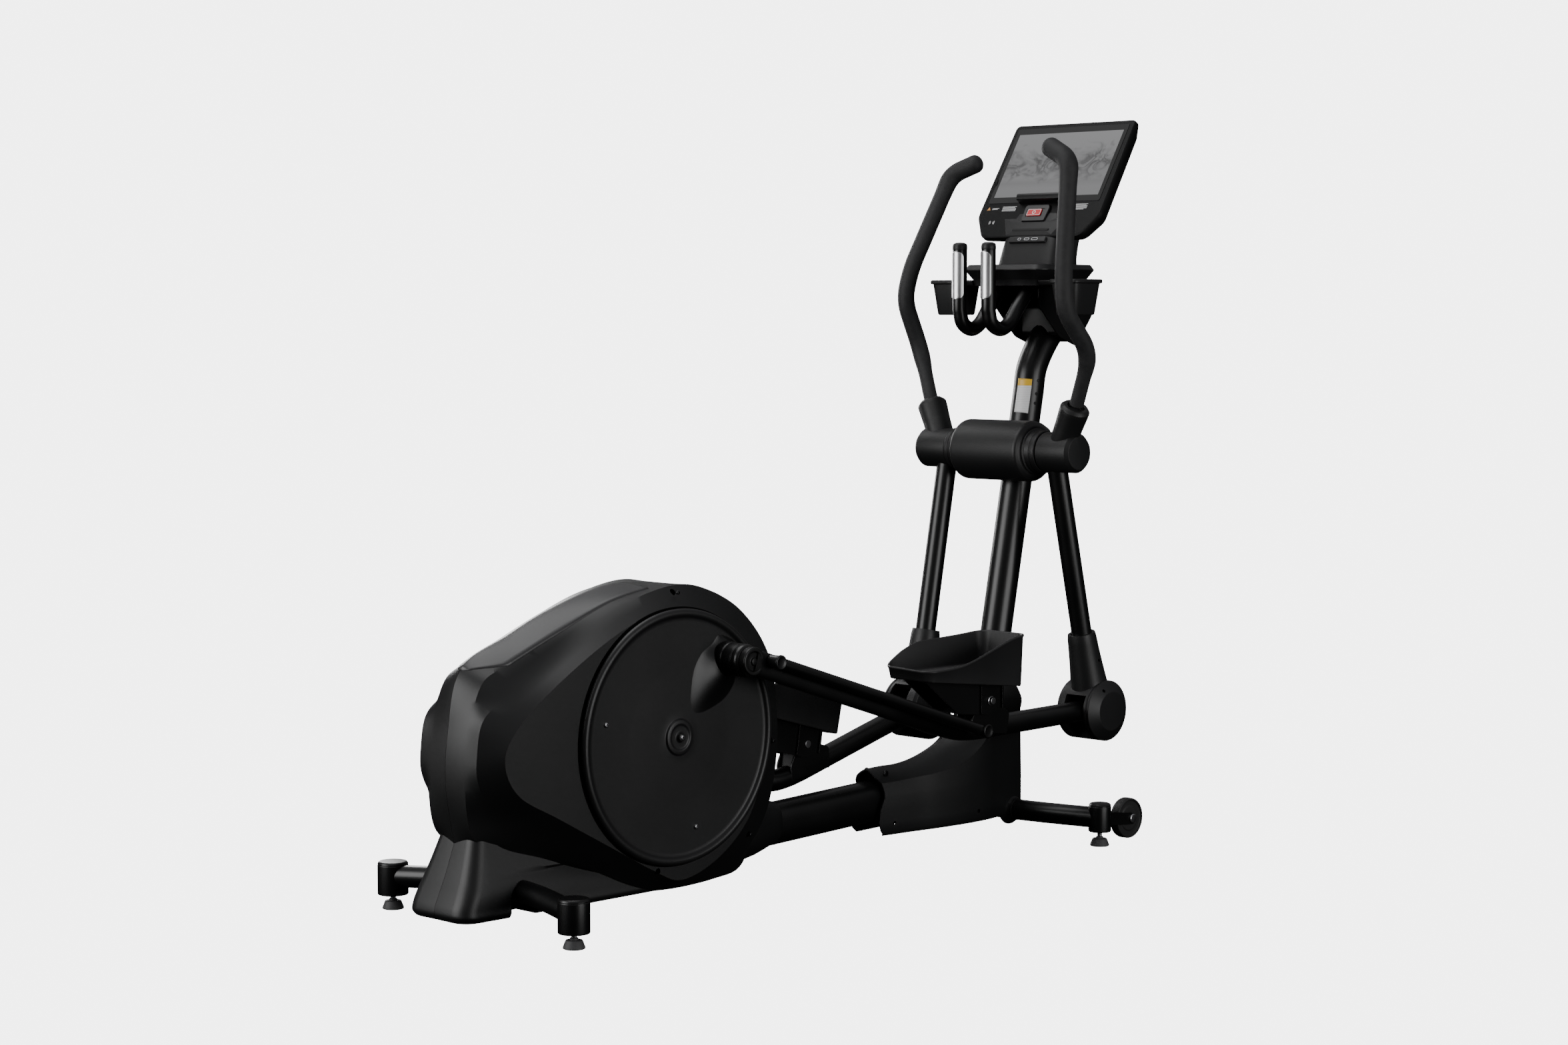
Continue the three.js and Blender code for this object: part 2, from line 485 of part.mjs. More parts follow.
// Pedal, from an origin on its pivot: a deep tray, low at the back and high at the front.
const PEDAL = { back: -269, front: 90, inner: 110, outer: 262, floor: 77, wall: 9 };
const pedalPlan = (inset, z0, z1) => roundedBlock(PEDAL.back + inset, PEDAL.front - inset, PEDAL.inner + inset,
  PEDAL.outer - inset, z0, z1, 32 - inset);
const pedalSide = (top, y0, y1) => plate([[PEDAL.back, 70], [PEDAL.front, 30], ...top, [PEDAL.back, 110]], y0, y1);
const outerTop = [[90, 160], [40, 156], [0, 146], [-50, 132], [-100, 119], [-150, 112]];
const innerTop = [[90, 160], [0, 154], [-150, 152], [-210, 142], [-240, 120]];
const pedalTray = cut(
  pedalPlan(0, 20, 170).intersect(join(pedalSide(outerTop, 186, 270), pedalSide(innerTop, 100, 186))),
  pedalPlan(PEDAL.wall, PEDAL.floor, 200), pedalPlan(PEDAL.wall, 0, 71),
);
const pedal = cut(join(pedalTray, plate([[-18, -6], [18, -6], [34, 73], [-60, 73]], 161, 207),
  drum(18, 161, 207, 0, 0, 24)), drum(6.6, 140, 230, 0, 0, 16));
const pedalMat = pedalPlan(PEDAL.wall + 2, PEDAL.floor + 0.3, PEDAL.floor + 5);

for (const [side, word, deg] of [[-1, 'right', CRANK.rightDeg], [1, 'left', CRANK.rightDeg + 180]]) {
  const pin = crankPin(deg);
  const knee = knuckleFor(pin);
  const swing = (Math.asin((knee.x - SHOULDER.x) / ARM_LENGTH) * 180) / Math.PI;
  const pitch = (Math.atan2(knee.z - pin.z, knee.x - pin.x) * 180) / Math.PI;
  const onArm = (shape) => mirrored(placed(shape, swing, SHOULDER.x, SHOULDER.z), side);
  const onBeam = (shape) => mirrored(placed(shape, pitch, knee.x, knee.z), side);
  const turn = rad(pitch);
  const pivot = {
    x: knee.x + PEDAL_PIVOT.x * Math.cos(turn) - PEDAL_PIVOT.z * Math.sin(turn),
    z: knee.z + PEDAL_PIVOT.x * Math.sin(turn) + PEDAL_PIVOT.z * Math.cos(turn),
  };
  const onPedal = (shape) => mirrored(placed(shape, side > 0 ? -LEFT_PEDAL_DEG : 0, pivot.x, pivot.z), side);
  part(`arm_hub_${word}`, onArm(armHubBored), 'plastic');
  part(`swing_tube_${word}`, onArm(swingTube), 'steel');
  part(`knuckle_${word}`, onArm(knuckle), 'plastic');
  part(`handle_${word}`, onArm(handle), 'rubber');
  part(`pedal_beam_${word}`, onBeam(pedalBeam), 'steel');
  part(`control_rod_${word}`, onBeam(controlRod), 'steel');
  part(`pedal_bracket_${word}`, onBeam(pedalBracket), 'steel');
  part(`pedal_${word}`, onPedal(pedal), 'plastic');
  part(`pedal_mat_${word}`, onPedal(pedalMat), 'rubber');
}

// ---------- Fixed grips, tray and bins ----------

// Tray on the mast head, with a wing on each side that carries a bin.
const bracket = cut(plate([[1905, 1345], [1988, 1262], [2054, 1237], [2136, 1330], [2136, 1372], [1912, 1372]], -75, 75),
  box(1850, 2200, -70, 70, 1200, 1400), mast(0.6));
const bracketWeb = cut(plate([[1990, 1272], [2050, 1244], [2134, 1334], [2134, 1368], [2062, 1368], [1990, 1328]], -71, 71),
  mast(0.6), plate([[1996, 1278], [2048, 1252], [2128, 1338], [2128, 1362], [2062, 1362], [1996, 1324]], -80, 80));
part('console_bracket', join(bracket, bracketWeb), 'steel');

const traySlab = cut(
  join(
    roundedBlock(1846, 2096, -126, 126, 1405, 1443, 20), roundedBlock(1852, 2084, -136, 136, 1388, 1436, 18),
  ),
  roundedBlock(1860, 2080, -116, 116, 1380, 1437, 14),
);
part('tray', cut(traySlab, mast(0.8)), 'plastic');

const BIN = { x0: 1847, x1: 1957, y0: 154, y1: 242, z0: 1316, z1: 1404 };
const binCup = (inset, z0, z1) => loft([[z0, 12], [z1, 0]].map(([z, taper]) => section(20, 1, 1, 6).map(([a, b]) => V(
  (BIN.x0 + BIN.x1) / 2 + a * ((BIN.x1 - BIN.x0) / 2 - inset - taper), (BIN.y0 + BIN.y1) / 2
    + b * ((BIN.y1 - BIN.y0) / 2 - inset - taper), z))));
const binRim = loft([BIN.z1 - 8, BIN.z1].map((z) => section(20, 1, 1, 6).map(([a, b]) => V(
  (BIN.x0 + BIN.x1) / 2 + a * ((BIN.x1 - BIN.x0) / 2 + 3), (BIN.y0 + BIN.y1) / 2 + b * ((BIN.y1 - BIN.y0) / 2 + 3), z))));
const bin = cut(join(binCup(0, BIN.z0, BIN.z1), binRim), binCup(4, BIN.z0 + 4, BIN.z1 + 10));
part('bin_left', bin, 'plastic');
part('bin_right', mirrored(bin, -1), 'plastic');

const GRIP_Y = 47.5;
const fixedLine = [V(1746, GRIP_Y, 1495), ...smooth([V(1746, GRIP_Y, 1330), V(1757, GRIP_Y, 1297), V(1790, GRIP_Y, 1281),
  V(1822, GRIP_Y, 1294), V(1858, GRIP_Y, 1336), V(1904, GRIP_Y, 1383)], 9)];
const fixedGrip = sweep(fixedLine, section(16, 18));
const plateArc = new THREE.Shape();
plateArc.absarc(1746, GRIP_Y, 20.2, rad(110), rad(250), false);
plateArc.absarc(1746, GRIP_Y, 18.6, rad(250), rad(110), true);
const contactPlate = solid(new THREE.ExtrudeGeometry(plateArc, { depth: 118, bevelEnabled: false, curveSegments: 10 })
  .translate(0, 0, 1356));
for (const [side, word] of [[1, 'left'], [-1, 'right']]) {
  part(`fixed_grip_${word}`, mirrored(fixedGrip, side), 'rubber');
  part(`contact_plate_${word}`, mirrored(contactPlate, side), 'silver');
}

// ---------- Console ----------

// Turns a shape built with X across, Y up the face and Z away from the user into its place.
const [upX, upZ] = FACE.up;
const [awayX, awayZ] = FACE.away;
const faceFrame = new THREE.Matrix4().makeBasis(V(0, -1, 0), V(upX, 0, upZ), V(awayX, 0, awayZ)).setPosition(FACE.x, 0, FACE.z);
const onFace = (shape) => shape.transform(faceFrame.elements);
const consoleOutline = (inset) => {
  const right = [[193 - inset, 228 - inset], [198 - inset, 222 - inset], [203 - inset, -56], [163 - inset, -120 + inset]];
  return [...right, ...right.map(([a, b]) => [-a, b]).reverse()];
};
const consoleRing = (inset, z) => consoleOutline(inset).map(([a, b]) => V(a, b, z));
const consoleShell = cut(
  loft([consoleRing(0, 0), consoleRing(0, 16), consoleRing(22, 50)]),
  loft([consoleRing(4, 6), consoleRing(4, 16), consoleRing(26, 45)]),
  box(-184.4, 184.4, -16.4, 214.9, -1, 4),
  box(-32.6, 16.6, -61.6, -40.4, -1, 8),
);
part('console_shell', onFace(join(consoleShell, cut(box(-188, 188, -20, 219, 3.4, 7), box(-150, 150, 0, 190, 0, 10)))), 'plastic');
part('display_glass', onFace(box(-184, 184, -16, 214.5, 0, 3)), 'screen');
part('reading_ledge', onFace(box(-72, 72, -19, -6, -25, -GAP)), 'plastic');
part('key_block', onFace(cut(box(-45, 37, -77, -27, -3.5, -GAP), box(-32.6, 16.6, -61.6, -40.4, -10, 10))), 'plastic');
part('stop_key', onFace(box(-32, 16, -61, -41, -8, -0.5)), 'red');
part('port_module', onFace(box(-60, 60, -137, -120.4, 4, 30)), 'plastic');

// Neck between the tray and the back of the console.
const neckRing = (x, z, halfX, halfY, lean) => section(20, halfX, halfY, 5).map(([a, b]) => V(x + a, b, z + lean * a));
const neckOuter = loft([neckRing(1988, 1444, 56, 95, 0), neckRing(2002, 1484, 51, 91, -0.2), neckRing(2024, 1526, 40, 86, -0.62)]);
const neckInner = loft([neckRing(1988, 1438, 51, 90, 0), neckRing(2002, 1484, 46, 86, -0.2), neckRing(2024, 1540, 35, 81, -0.62)]);
const consoleBlock = onFace(loft([consoleRing(-0.6, -0.6), consoleRing(-0.6, 16), consoleRing(21.4, 50.8)]));
const portBlock = onFace(box(-61, 61, -138, -119, 3, 31));
part('console_neck', cut(neckOuter, neckInner, consoleBlock, portBlock), 'plastic');

export default group;
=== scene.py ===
import math

import bmesh
import bpy
from mathutils import Matrix, Vector
from mathutils.bvhtree import BVHTree


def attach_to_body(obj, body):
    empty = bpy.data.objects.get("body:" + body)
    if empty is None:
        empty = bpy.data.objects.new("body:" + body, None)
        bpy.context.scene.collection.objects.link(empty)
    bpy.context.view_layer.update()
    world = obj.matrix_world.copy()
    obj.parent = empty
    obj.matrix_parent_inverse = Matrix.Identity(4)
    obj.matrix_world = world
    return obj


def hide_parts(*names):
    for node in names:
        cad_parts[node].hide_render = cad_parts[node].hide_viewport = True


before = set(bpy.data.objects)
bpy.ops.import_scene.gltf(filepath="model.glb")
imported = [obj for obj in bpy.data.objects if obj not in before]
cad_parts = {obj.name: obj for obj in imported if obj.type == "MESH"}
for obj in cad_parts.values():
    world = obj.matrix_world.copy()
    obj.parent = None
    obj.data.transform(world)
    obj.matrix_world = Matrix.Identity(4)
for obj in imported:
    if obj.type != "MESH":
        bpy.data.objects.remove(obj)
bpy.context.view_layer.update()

# ---------------------------------------------------------------------------
# Camera, floor and light. The machine stands on a plain pale floor under one
# broad soft light from above and behind, so its black surfaces read by their sheen.
# ---------------------------------------------------------------------------
YAW, PITCH = math.radians(44.98), math.radians(-3.941)
forward = Vector((math.cos(YAW) * math.cos(PITCH), math.sin(YAW) * math.cos(PITCH), math.sin(PITCH)))
camera_data = bpy.data.cameras.new("camera")
camera_data.lens, camera_data.sensor_width, camera_data.clip_end = 70.34, 36, 60
camera = bpy.data.objects.new("camera", camera_data)
camera.location = (-5.0921, -5.0713, 1.325)
camera.rotation_euler = forward.to_track_quat("-Z", "Y").to_euler()
bpy.context.collection.objects.link(camera)
bpy.context.scene.camera = camera

world = bpy.data.worlds.new("studio")
bpy.context.scene.world = world
world.use_nodes = True
sky = world.node_tree
sky.nodes.clear()
sky_out = sky.nodes.new("ShaderNodeOutputWorld")
ray = sky.nodes.new("ShaderNodeLightPath")
paper, room = sky.nodes.new("ShaderNodeBackground"), sky.nodes.new("ShaderNodeBackground")
paper.inputs["Color"].default_value = (1, 1, 1, 1)
paper.inputs["Strength"].default_value = 5.0
direction = sky.nodes.new("ShaderNodeTexCoord")
split = sky.nodes.new("ShaderNodeSeparateXYZ")
sky.links.new(direction.outputs["Generated"], split.inputs[0])
ramp = sky.nodes.new("ShaderNodeValToRGB")
ramp.color_ramp.elements[0].position, ramp.color_ramp.elements[0].color = 0.42, (0.004, 0.004, 0.004, 1)
ramp.color_ramp.elements[1].position, ramp.color_ramp.elements[1].color = 0.95, (0.34, 0.34, 0.35, 1)
middle_stop = ramp.color_ramp.elements.new(0.52)
middle_stop.color = (0.02, 0.02, 0.021, 1)
height = sky.nodes.new("ShaderNodeMath")
height.operation = "MULTIPLY_ADD"
height.inputs[1].default_value, height.inputs[2].default_value = 0.5, 0.5
sky.links.new(split.outputs["Z"], height.inputs[0])
sky.links.new(height.outputs[0], ramp.inputs["Fac"])
sky.links.new(ramp.outputs["Color"], room.inputs["Color"])
swap = sky.nodes.new("ShaderNodeMixShader")
sky.links.new(ray.outputs["Is Camera Ray"], swap.inputs["Fac"])
sky.links.new(room.outputs[0], swap.inputs[1])
sky.links.new(paper.outputs[0], swap.inputs[2])
sky.links.new(swap.outputs[0], sky_out.inputs["Surface"])


def softbox(name, place, target, size, power):
    """A large soft light that faces its target."""
    data = bpy.data.lights.new(name, "AREA")
    data.shape, data.size, data.size_y, data.energy = "RECTANGLE", size[0], size[1], power
    light = bpy.data.objects.new(name, data)
    light.location = place
    light.rotation_euler = (Vector(target) - Vector(place)).to_track_quat("-Z", "Y").to_euler()
    bpy.context.collection.objects.link(light)
    light.visible_camera = False


softbox("rear_box", (-4.6, 1.6, 1.9), (0, 0, 0.7), (3.4, 3.0), 170)
softbox("top_box", (-0.6, 0.8, 4.2), (0, 0, 0.5), (3.2, 2.4), 60)
softbox("far_strip", (1.4, 4.2, 2.2), (0.2, 0, 0.9), (1.2, 2.6), 80)
softbox("side_fill", (0.4, -5.4, 1.0), (0, 0, 0.7), (3.6, 2.6), 120)

floor_mesh = bpy.data.meshes.new("floor")
floor_mesh.from_pydata([(-30, -30, -0.002), (30, -30, -0.002), (30, 30, -0.002), (-30, 30, -0.002)], [],
                       [(0, 1, 2, 3)])
floor = bpy.data.objects.new("floor", floor_mesh)
bpy.context.collection.objects.link(floor)
floor_look = bpy.data.materials.new("pale_floor")
floor_look.use_nodes = True
floor_nodes = floor_look.node_tree
floor_nodes.nodes.clear()
floor_out = floor_nodes.nodes.new("ShaderNodeOutputMaterial")
floor_glow = floor_nodes.nodes.new("ShaderNodeEmission")
floor_glow.inputs["Color"].default_value = (1, 1, 1, 1)
floor_glow.inputs["Strength"].default_value = 5.0
floor_nodes.links.new(floor_glow.outputs[0], floor_out.inputs["Surface"])
floor_mesh.materials.append(floor_look)
floor.visible_diffuse = floor.visible_glossy = floor.visible_shadow = False

# ---------------------------------------------------------------------------
# Rear shroud: two moulded plastic halves that meet on the centre line. Each
# is a rounded hood, a teardrop side pod with a wide chamfer, and a flared skirt.
# Sizes are in millimetres, with X counted from the back of the skirt.
# ---------------------------------------------------------------------------
MIDDLE = 1094
SIDES = ((1, "left"), (-1, "right"))


def at(x, y, z):
    """A point in millimetres as a place in the frame, in metres."""
    return Vector((x - MIDDLE, y, z)) / 1000


class Form:
    """Points in millimetres and the faces between them."""

    def __init__(self, points=(), faces=()):
        self.points, self.faces = [Vector(p) for p in points], [tuple(f) for f in faces]

    def __add__(self, other):
        shift = len(self.points)
        return Form(self.points + other.points, self.faces + [tuple(i + shift for i in f)
                for f in other.faces])

    def moved(self, matrix):
        return Form([matrix @ p for p in self.points], self.faces)

    def side(self, sign):
        if sign > 0:
            return self
        return Form([(p.x, -p.y, p.z) for p in self.points], [tuple(reversed(f)) for f in self.faces])


def loft(rings, start=True, end=True, closed=True):
    """Skin through rings of equal length, with a fan cap at each end that is asked for."""
    n = len(rings[0])
    points = [Vector(p) for ring in rings for p in ring]
    faces = []
    for r in range(len(rings) - 1):
        for i in range(n if closed else n - 1):
            a, b = r * n + i, r * n + (i + 1) % n
            faces.append((a, b, b + n, a + n))
    for wanted, first, flip in ((start, 0, True), (end, (len(rings) - 1) * n, False)):
        if wanted:
            points.append(sum(points[first:first + n], Vector()) / n)
            for i in range(n):
                edge = (first + i, first + (i + 1) % n)
                faces.append((*(edge[::-1] if flip else edge), len(points) - 1))
    return Form(points, faces)


def outward(mesh):
    """Joins the seams and turns every face outward."""
    work = bmesh.new()
    work.from_mesh(mesh)
    bmesh.ops.remove_doubles(work, verts=work.verts, dist=1e-6)
    bmesh.ops.recalc_face_normals(work, faces=work.faces)
    middle = sum((v.co for v in work.verts), Vector()) / len(work.verts)
    if sum((f.calc_center_median() - middle).dot(f.normal) * f.calc_area() for f in work.faces) < 0:
        bmesh.ops.reverse_faces(work, faces=work.faces)
    work.to_mesh(mesh)
    work.free()


def build(name, form, look, body, replaces=(), bevel=0.0, sharp=32, segments=2, wall=0.0):
    """One finished piece: mesh, edges, material, and what it rides on and stands for."""
    mesh = bpy.data.meshes.new(name)
    mesh.from_pydata([at(*p) for p in form.points], [], form.faces)
    outward(mesh)
    mesh.shade_smooth()
    mesh.set_sharp_from_angle(angle=math.radians(sharp))
    piece = bpy.data.objects.new(name, mesh)
    bpy.context.collection.objects.link(piece)
    mesh.materials.append(look)
    if wall:
        thicken = piece.modifiers.new("wall", "SOLIDIFY")
        thicken.thickness, thicken.offset = wall / 1000, -1
    if bevel:
        edge = piece.modifiers.new("edge", "BEVEL")
        edge.width, edge.segments, edge.limit_method = bevel / 1000, segments, "ANGLE"
        edge.angle_limit = math.radians(sharp)
        edge.harden_normals = True
    return attach(piece, body, replaces)


def attach(piece, body, replaces=()):
    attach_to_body(piece, body)
    if replaces:
        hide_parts(*replaces)
    return piece


class Val:
    """A shader socket that can be used in sums."""

    def __init__(self, shader, socket):
        self.shader, self.socket = shader, socket

    def _math(self, operation, *values):
        return self.shader.node("Math", {"operation": operation}, dict(enumerate(values)))

    def __add__(self, other):
        return self._math("ADD", self, other)

    def __sub__(self, other):
        return self._math("SUBTRACT", self, other)

    def __rsub__(self, other):
        return self._math("SUBTRACT", other, self)

    def __mul__(self, other):
        return self._math("MULTIPLY", self, other)

    def __truediv__(self, other):
        return self._math("DIVIDE", self, other)

    def __pow__(self, other):
        return self._math("POWER", self, other)

    __radd__, __rmul__ = __add__, __mul__


class Finish:
    """A material with one Principled shader, and a short way to add nodes to it."""

    def __init__(self, name, **fixed):
        self.material = bpy.data.materials.new(name)
        self.material.use_nodes = True
        self.tree = self.material.node_tree
        self.shader = self.tree.nodes["Principled BSDF"]
        for socket, value in fixed.items():
            self.shader.inputs[socket].default_value = value

    def node(self, kind, settings=None, inputs=None, output=0):
        made = self.tree.nodes.new("ShaderNode" + kind)
        for key, value in (settings or {}).items():
            if key == "stops":
                while len(made.color_ramp.elements) < len(value):
                    made.color_ramp.elements.new(0.5)
                for stop, (place, shade) in zip(made.color_ramp.elements, value):
                    stop.position = place
                    stop.color = (*shade, 1)
            else:
                setattr(made, key, value)
        for key, value in (inputs or {}).items():
            if isinstance(value, Val):
                self.tree.links.new(value.socket, made.inputs[key])
            else:
                made.inputs[key].default_value = value
        return Val(self, made.outputs[output])

    def feed(self, socket, value):
        self.tree.links.new(value.socket, self.shader.inputs[socket])

    def place(self):
        """Where a point is on its own object, in metres."""
        return self.node("TexCoord", output=3)

    def noise(self, scale, detail):
        return self.node("TexNoise", None, {"Vector": self.place(), "Scale": scale, "Detail": detail})

    def bump(self, height, strength, distance):
        self.feed("Normal", self.node("Bump", None,
                                      {"Height": height, "Strength": strength, "Distance": distance}))

    def shade(self, amount, dark, light):
        """Base colour between two shades."""
        self.feed("Base Color", self.node("ValToRGB", {"stops": [(0.3, dark), (0.7, light)]},
                                          {"Fac": amount}))


def moulded_plastic(name, dark, light, roughness, grain=0.25, scale=1500, ior=1.47):
    """Injection-moulded plastic: a fine spark-eroded grain with slow drifts in sheen."""
    finish = Finish(name, IOR=ior)
    drift = finish.noise(7.0, 2.0)
    fine = finish.noise(scale, 2.0)
    finish.shade(drift * 0.75 + fine * 0.25, dark, light)
    finish.feed("Roughness", drift * 0.07 + fine * 0.05 + (roughness - 0.06))
    finish.bump(fine, grain, 0.0002)
    return finish.material


hood_plastic = moulded_plastic("hood_plastic", (0.0040, 0.0041, 0.0043), (0.0056, 0.0057, 0.0059), 0.44)

HOOD_CENTRE = (470, 330)
FRONT_EDGE = [(645, 718), (736, 702), (844, 646), (930, 542), (957, 416), (956, 292), (921, 170)]
BOTTOM_EDGE = [(875, 52), (790, 32), (480, 30), (300, 30), (180, 30), (110, 60)]
SEAM = FRONT_EDGE + BOTTOM_EDGE + [(80, 200), (60, 318), (66, 430), (101, 562), (238, 628), (344, 672),
                                   (500, 715)]
CROWN = FRONT_EDGE + [(875, 52), (790, 32), (560, 34), (400, 90), (240, 150), (110, 190)] + [
    (78, 220), (62, 318), (72, 430), (112, 540), (165, 568), (330, 640), (472, 694), (566, 712)]
POD = FRONT_EDGE + [(850, 90), (700, 44), (570, 40), (490, 64), (373, 124), (259, 185), (155, 238),
                    (97, 285), (69, 339), (68, 389), (84, 462), (136, 502), (262, 566), (454, 673)]
POD_FACE = [(880, 350), (868, 270), (820, 170), (720, 92), (610, 62), (531, 94), (452, 136), (374, 178),
            (253, 243), (149, 300), (116, 345), (110, 390), (140, 440), (225, 509), (415, 620), (533, 662),
            (640, 668), (740, 634), (815, 575), (865, 480)]


def smooth_path(stations, steps, closed=False):
    """Centripetal curve through stations of any length, returned as evenly counted points."""
    stations = [tuple(map(float, s)) for s in stations]
    n = len(stations)
    spans = n if closed else n - 1
    made = []
    for k in range(spans):
        p1, p2 = stations[k], stations[(k + 1) % n]
        p0 = stations[k - 1] if closed or k else tuple(2 * a - b for a, b in zip(p1, p2))
        p3 = stations[(k + 2) % n] if closed or k + 2 < n else tuple(2 * b - a for a, b in zip(p1, p2))
        knots = [0.0]
        for a, b in ((p0, p1), (p1, p2), (p2, p3)):
            knots.append(knots[-1] + max(math.dist(a, b), 1e-6) ** 0.5)
        t0, t1, t2, t3 = knots
        for j in range(steps):
            t = t1 + (t2 - t1) * j / steps
            mix = lambda a, b, ta, tb: tuple(((tb - t) * u + (t - ta) * v) / (tb - ta)
                                             for u, v in zip(a, b))
            a1, a2, a3 = mix(p0, p1, t0, t1), mix(p1, p2, t1, t2), mix(p2, p3, t2, t3)
            made.append(mix(mix(a1, a2, t0, t2), mix(a2, a3, t1, t3), t1, t2))
    return made if closed else made + [stations[-1]]


def polar_outline(outline, y, count=256):
    """Ring of points on a smooth closed outline, evenly turned about the hood's centre."""
    curve = [(x - HOOD_CENTRE[0], z - HOOD_CENTRE[1]) for x, z in smooth_path(outline, 10, True)]
    ring = []
    for k in range(count):
        angle = 2 * math.pi * k / count
        c, s = math.cos(angle), math.sin(angle)
        best = 0.0
        for (ax, az), (bx, bz) in zip(curve, curve[1:] + curve[:1]):
            side_a, side_b = az * c - ax * s, bz * c - bx * s
            if side_a * side_b <= 0 and side_a != side_b:
                t = side_a / (side_a - side_b)
                best = max(best, (ax + (bx - ax) * t) * c + (az + (bz - az) * t) * s)
        ring.append(Vector((HOOD_CENTRE[0] + best * c, y, HOOD_CENTRE[1] + best * s)))
    return ring


def between(a, b, t, y):
    """A ring part of the way from one ring to another, at its own depth."""
    return [Vector((p.x + (q.x - p.x) * t, y, p.z + (q.z - p.z) * t)) for p, q in zip(a, b)]


seam_ring, crown_ring = polar_outline(SEAM, 0.4), polar_outline(CROWN, 62)
pod_ring, face_ring = polar_outline(POD, 95), polar_outline(POD_FACE, 138)
hood_rings = [seam_ring]
for k in range(1, 6):
    t = k / 6
    hood_rings.append(between(seam_ring, crown_ring, t ** 1.25, 0.4 + 61.6 * t))
hood_rings += [crown_ring, between(crown_ring, pod_ring, 0.5, 79), pod_ring,
               between(pod_ring, face_ring, 0.5, 116.5), face_ring]
hood_form = loft(hood_rings, start=False, end=True)

# The skirt is a wedge under the hood that flares out behind and frames the cross tube.
SKIRT = [  # height, rear end, half width, front end
    (34, 40, 88, 640), (36, 32, 95, 650), (42, 27, 99, 650), (60, 26, 99, 560), (90, 38, 96, 440),
    (120, 52, 89, 340), (150, 64, 81, 255), (180, 75, 73, 160), (206, 84, 66, 120)]
skirt_rings = []
for z, rear, half, front in smooth_path(SKIRT, 5):
    corner = 46 * (half / 100)
    outline = [(rear + 1.5, 0.4)] + [(rear + corner - corner * math.cos(t) ** 0.8, half - corner + corner
                                      * math.sin(t) ** 0.9) for t in (math.radians(4 + 82 * k / 12)
            for k in range(13))]
    outline = [(x, max(y, 0.4)) for x, y in outline]
    reach = max(front - (rear + corner), 10)
    outline += [(rear + corner + reach * k / 16, half - 8 * (k / 16) ** 2 * (z < 130))
                for k in range(1, 17)]
    outline += [(rear + corner + reach, 0.4)]
    skirt_rings.append([Vector((x, y, z)) for x, y in outline])
skirt_form = loft(skirt_rings)


def cut_away(piece, form, name="tool", operation="DIFFERENCE"):
    """Removes a closed form's space from a piece, or adds it."""
    mesh = bpy.data.meshes.new(name)
    mesh.from_pydata([at(*p) for p in form.points], [], form.faces)
    outward(mesh)
    tool = bpy.data.objects.new(name, mesh)
    bpy.context.collection.objects.link(tool)
    step = piece.modifiers.new(name, "BOOLEAN")
    step.object, step.operation, step.solver = tool, operation, "EXACT"
    bake(piece)
    bpy.data.objects.remove(tool)
    return piece


def bake(piece):
    """Turns a piece's modifiers into its mesh."""
    graph = bpy.context.evaluated_depsgraph_get()
    fresh = bpy.data.meshes.new_from_object(piece.evaluated_get(graph))
    piece.modifiers.clear()
    piece.data = fresh
    return piece


def polygon_slab(outline, y0, y1):
    """A flat outline in X and Z, given thickness along Y."""
    return loft([[(x, y0, z) for x, z in outline], [(x, y1, z) for x, z in outline]])


def polar(r, degrees, x=0.0, z=0.0):
    """A point by its radius and angle."""
    return (x + r * math.cos(math.radians(degrees)), z + r * math.sin(math.radians(degrees)))


def arc(x, z, radius, start, end, steps):
    """Points on a round stretch, with its angles in degrees."""
    return [polar(radius, start + (end - start) * k / steps, x, z) for k in range(steps + 1)]


def spun(profile, start, direction, count=48):
    """Body turned about a line; each profile point is [radius, distance along the line]."""
    axis = Vector(direction).normalized()
    first = (Vector((0, 0, 1)) if abs(axis.z) < 0.9 else Vector((1, 0, 0))).cross(axis).normalized()
    second = axis.cross(first)
    turns = [2 * math.pi * k / count for k in range(count)]
    return loft([[Vector(start) + axis * d + (first * math.cos(a) + second * math.sin(a)) * r
                  for a in turns]
                 for r, d in profile], start=False, end=False)


def turned(profile, x=0.0, z=0.0, count=96):
    """A body turned about a line across the machine."""
    return spun(profile, (x, 0, z), (0, 1, 0), count)


def upright(profile, x, y, count=48):
    """A body turned about a vertical line."""
    return spun(profile, (x, y, 0), (0, 0, 1), count)


def soft(points, radius, steps=4, closed=False):
    """Rounds the corners of a line of points."""
    points = [Vector(p) for p in points]
    n = len(points)
    made = []
    for i, p in enumerate(points):
        if not closed and i in (0, n - 1):
            made.append(p)
            continue
        back, ahead = points[i - 1] - p, points[(i + 1) % n] - p
        size = radius[i] if isinstance(radius, (list, tuple)) else radius
        reach = min(size, 0.45 * back.length, 0.45 * ahead.length)
        if reach < 0.05:
            made.append(p)
            continue
        a, b = p + back.normalized() * reach, p + ahead.normalized() * reach
        for k in range(steps + 1):
            t = k / steps
            made.append(a * (1 - t) ** 2 + p * 2 * t * (1 - t) + b * t ** 2)
    return [tuple(p) for p in made]


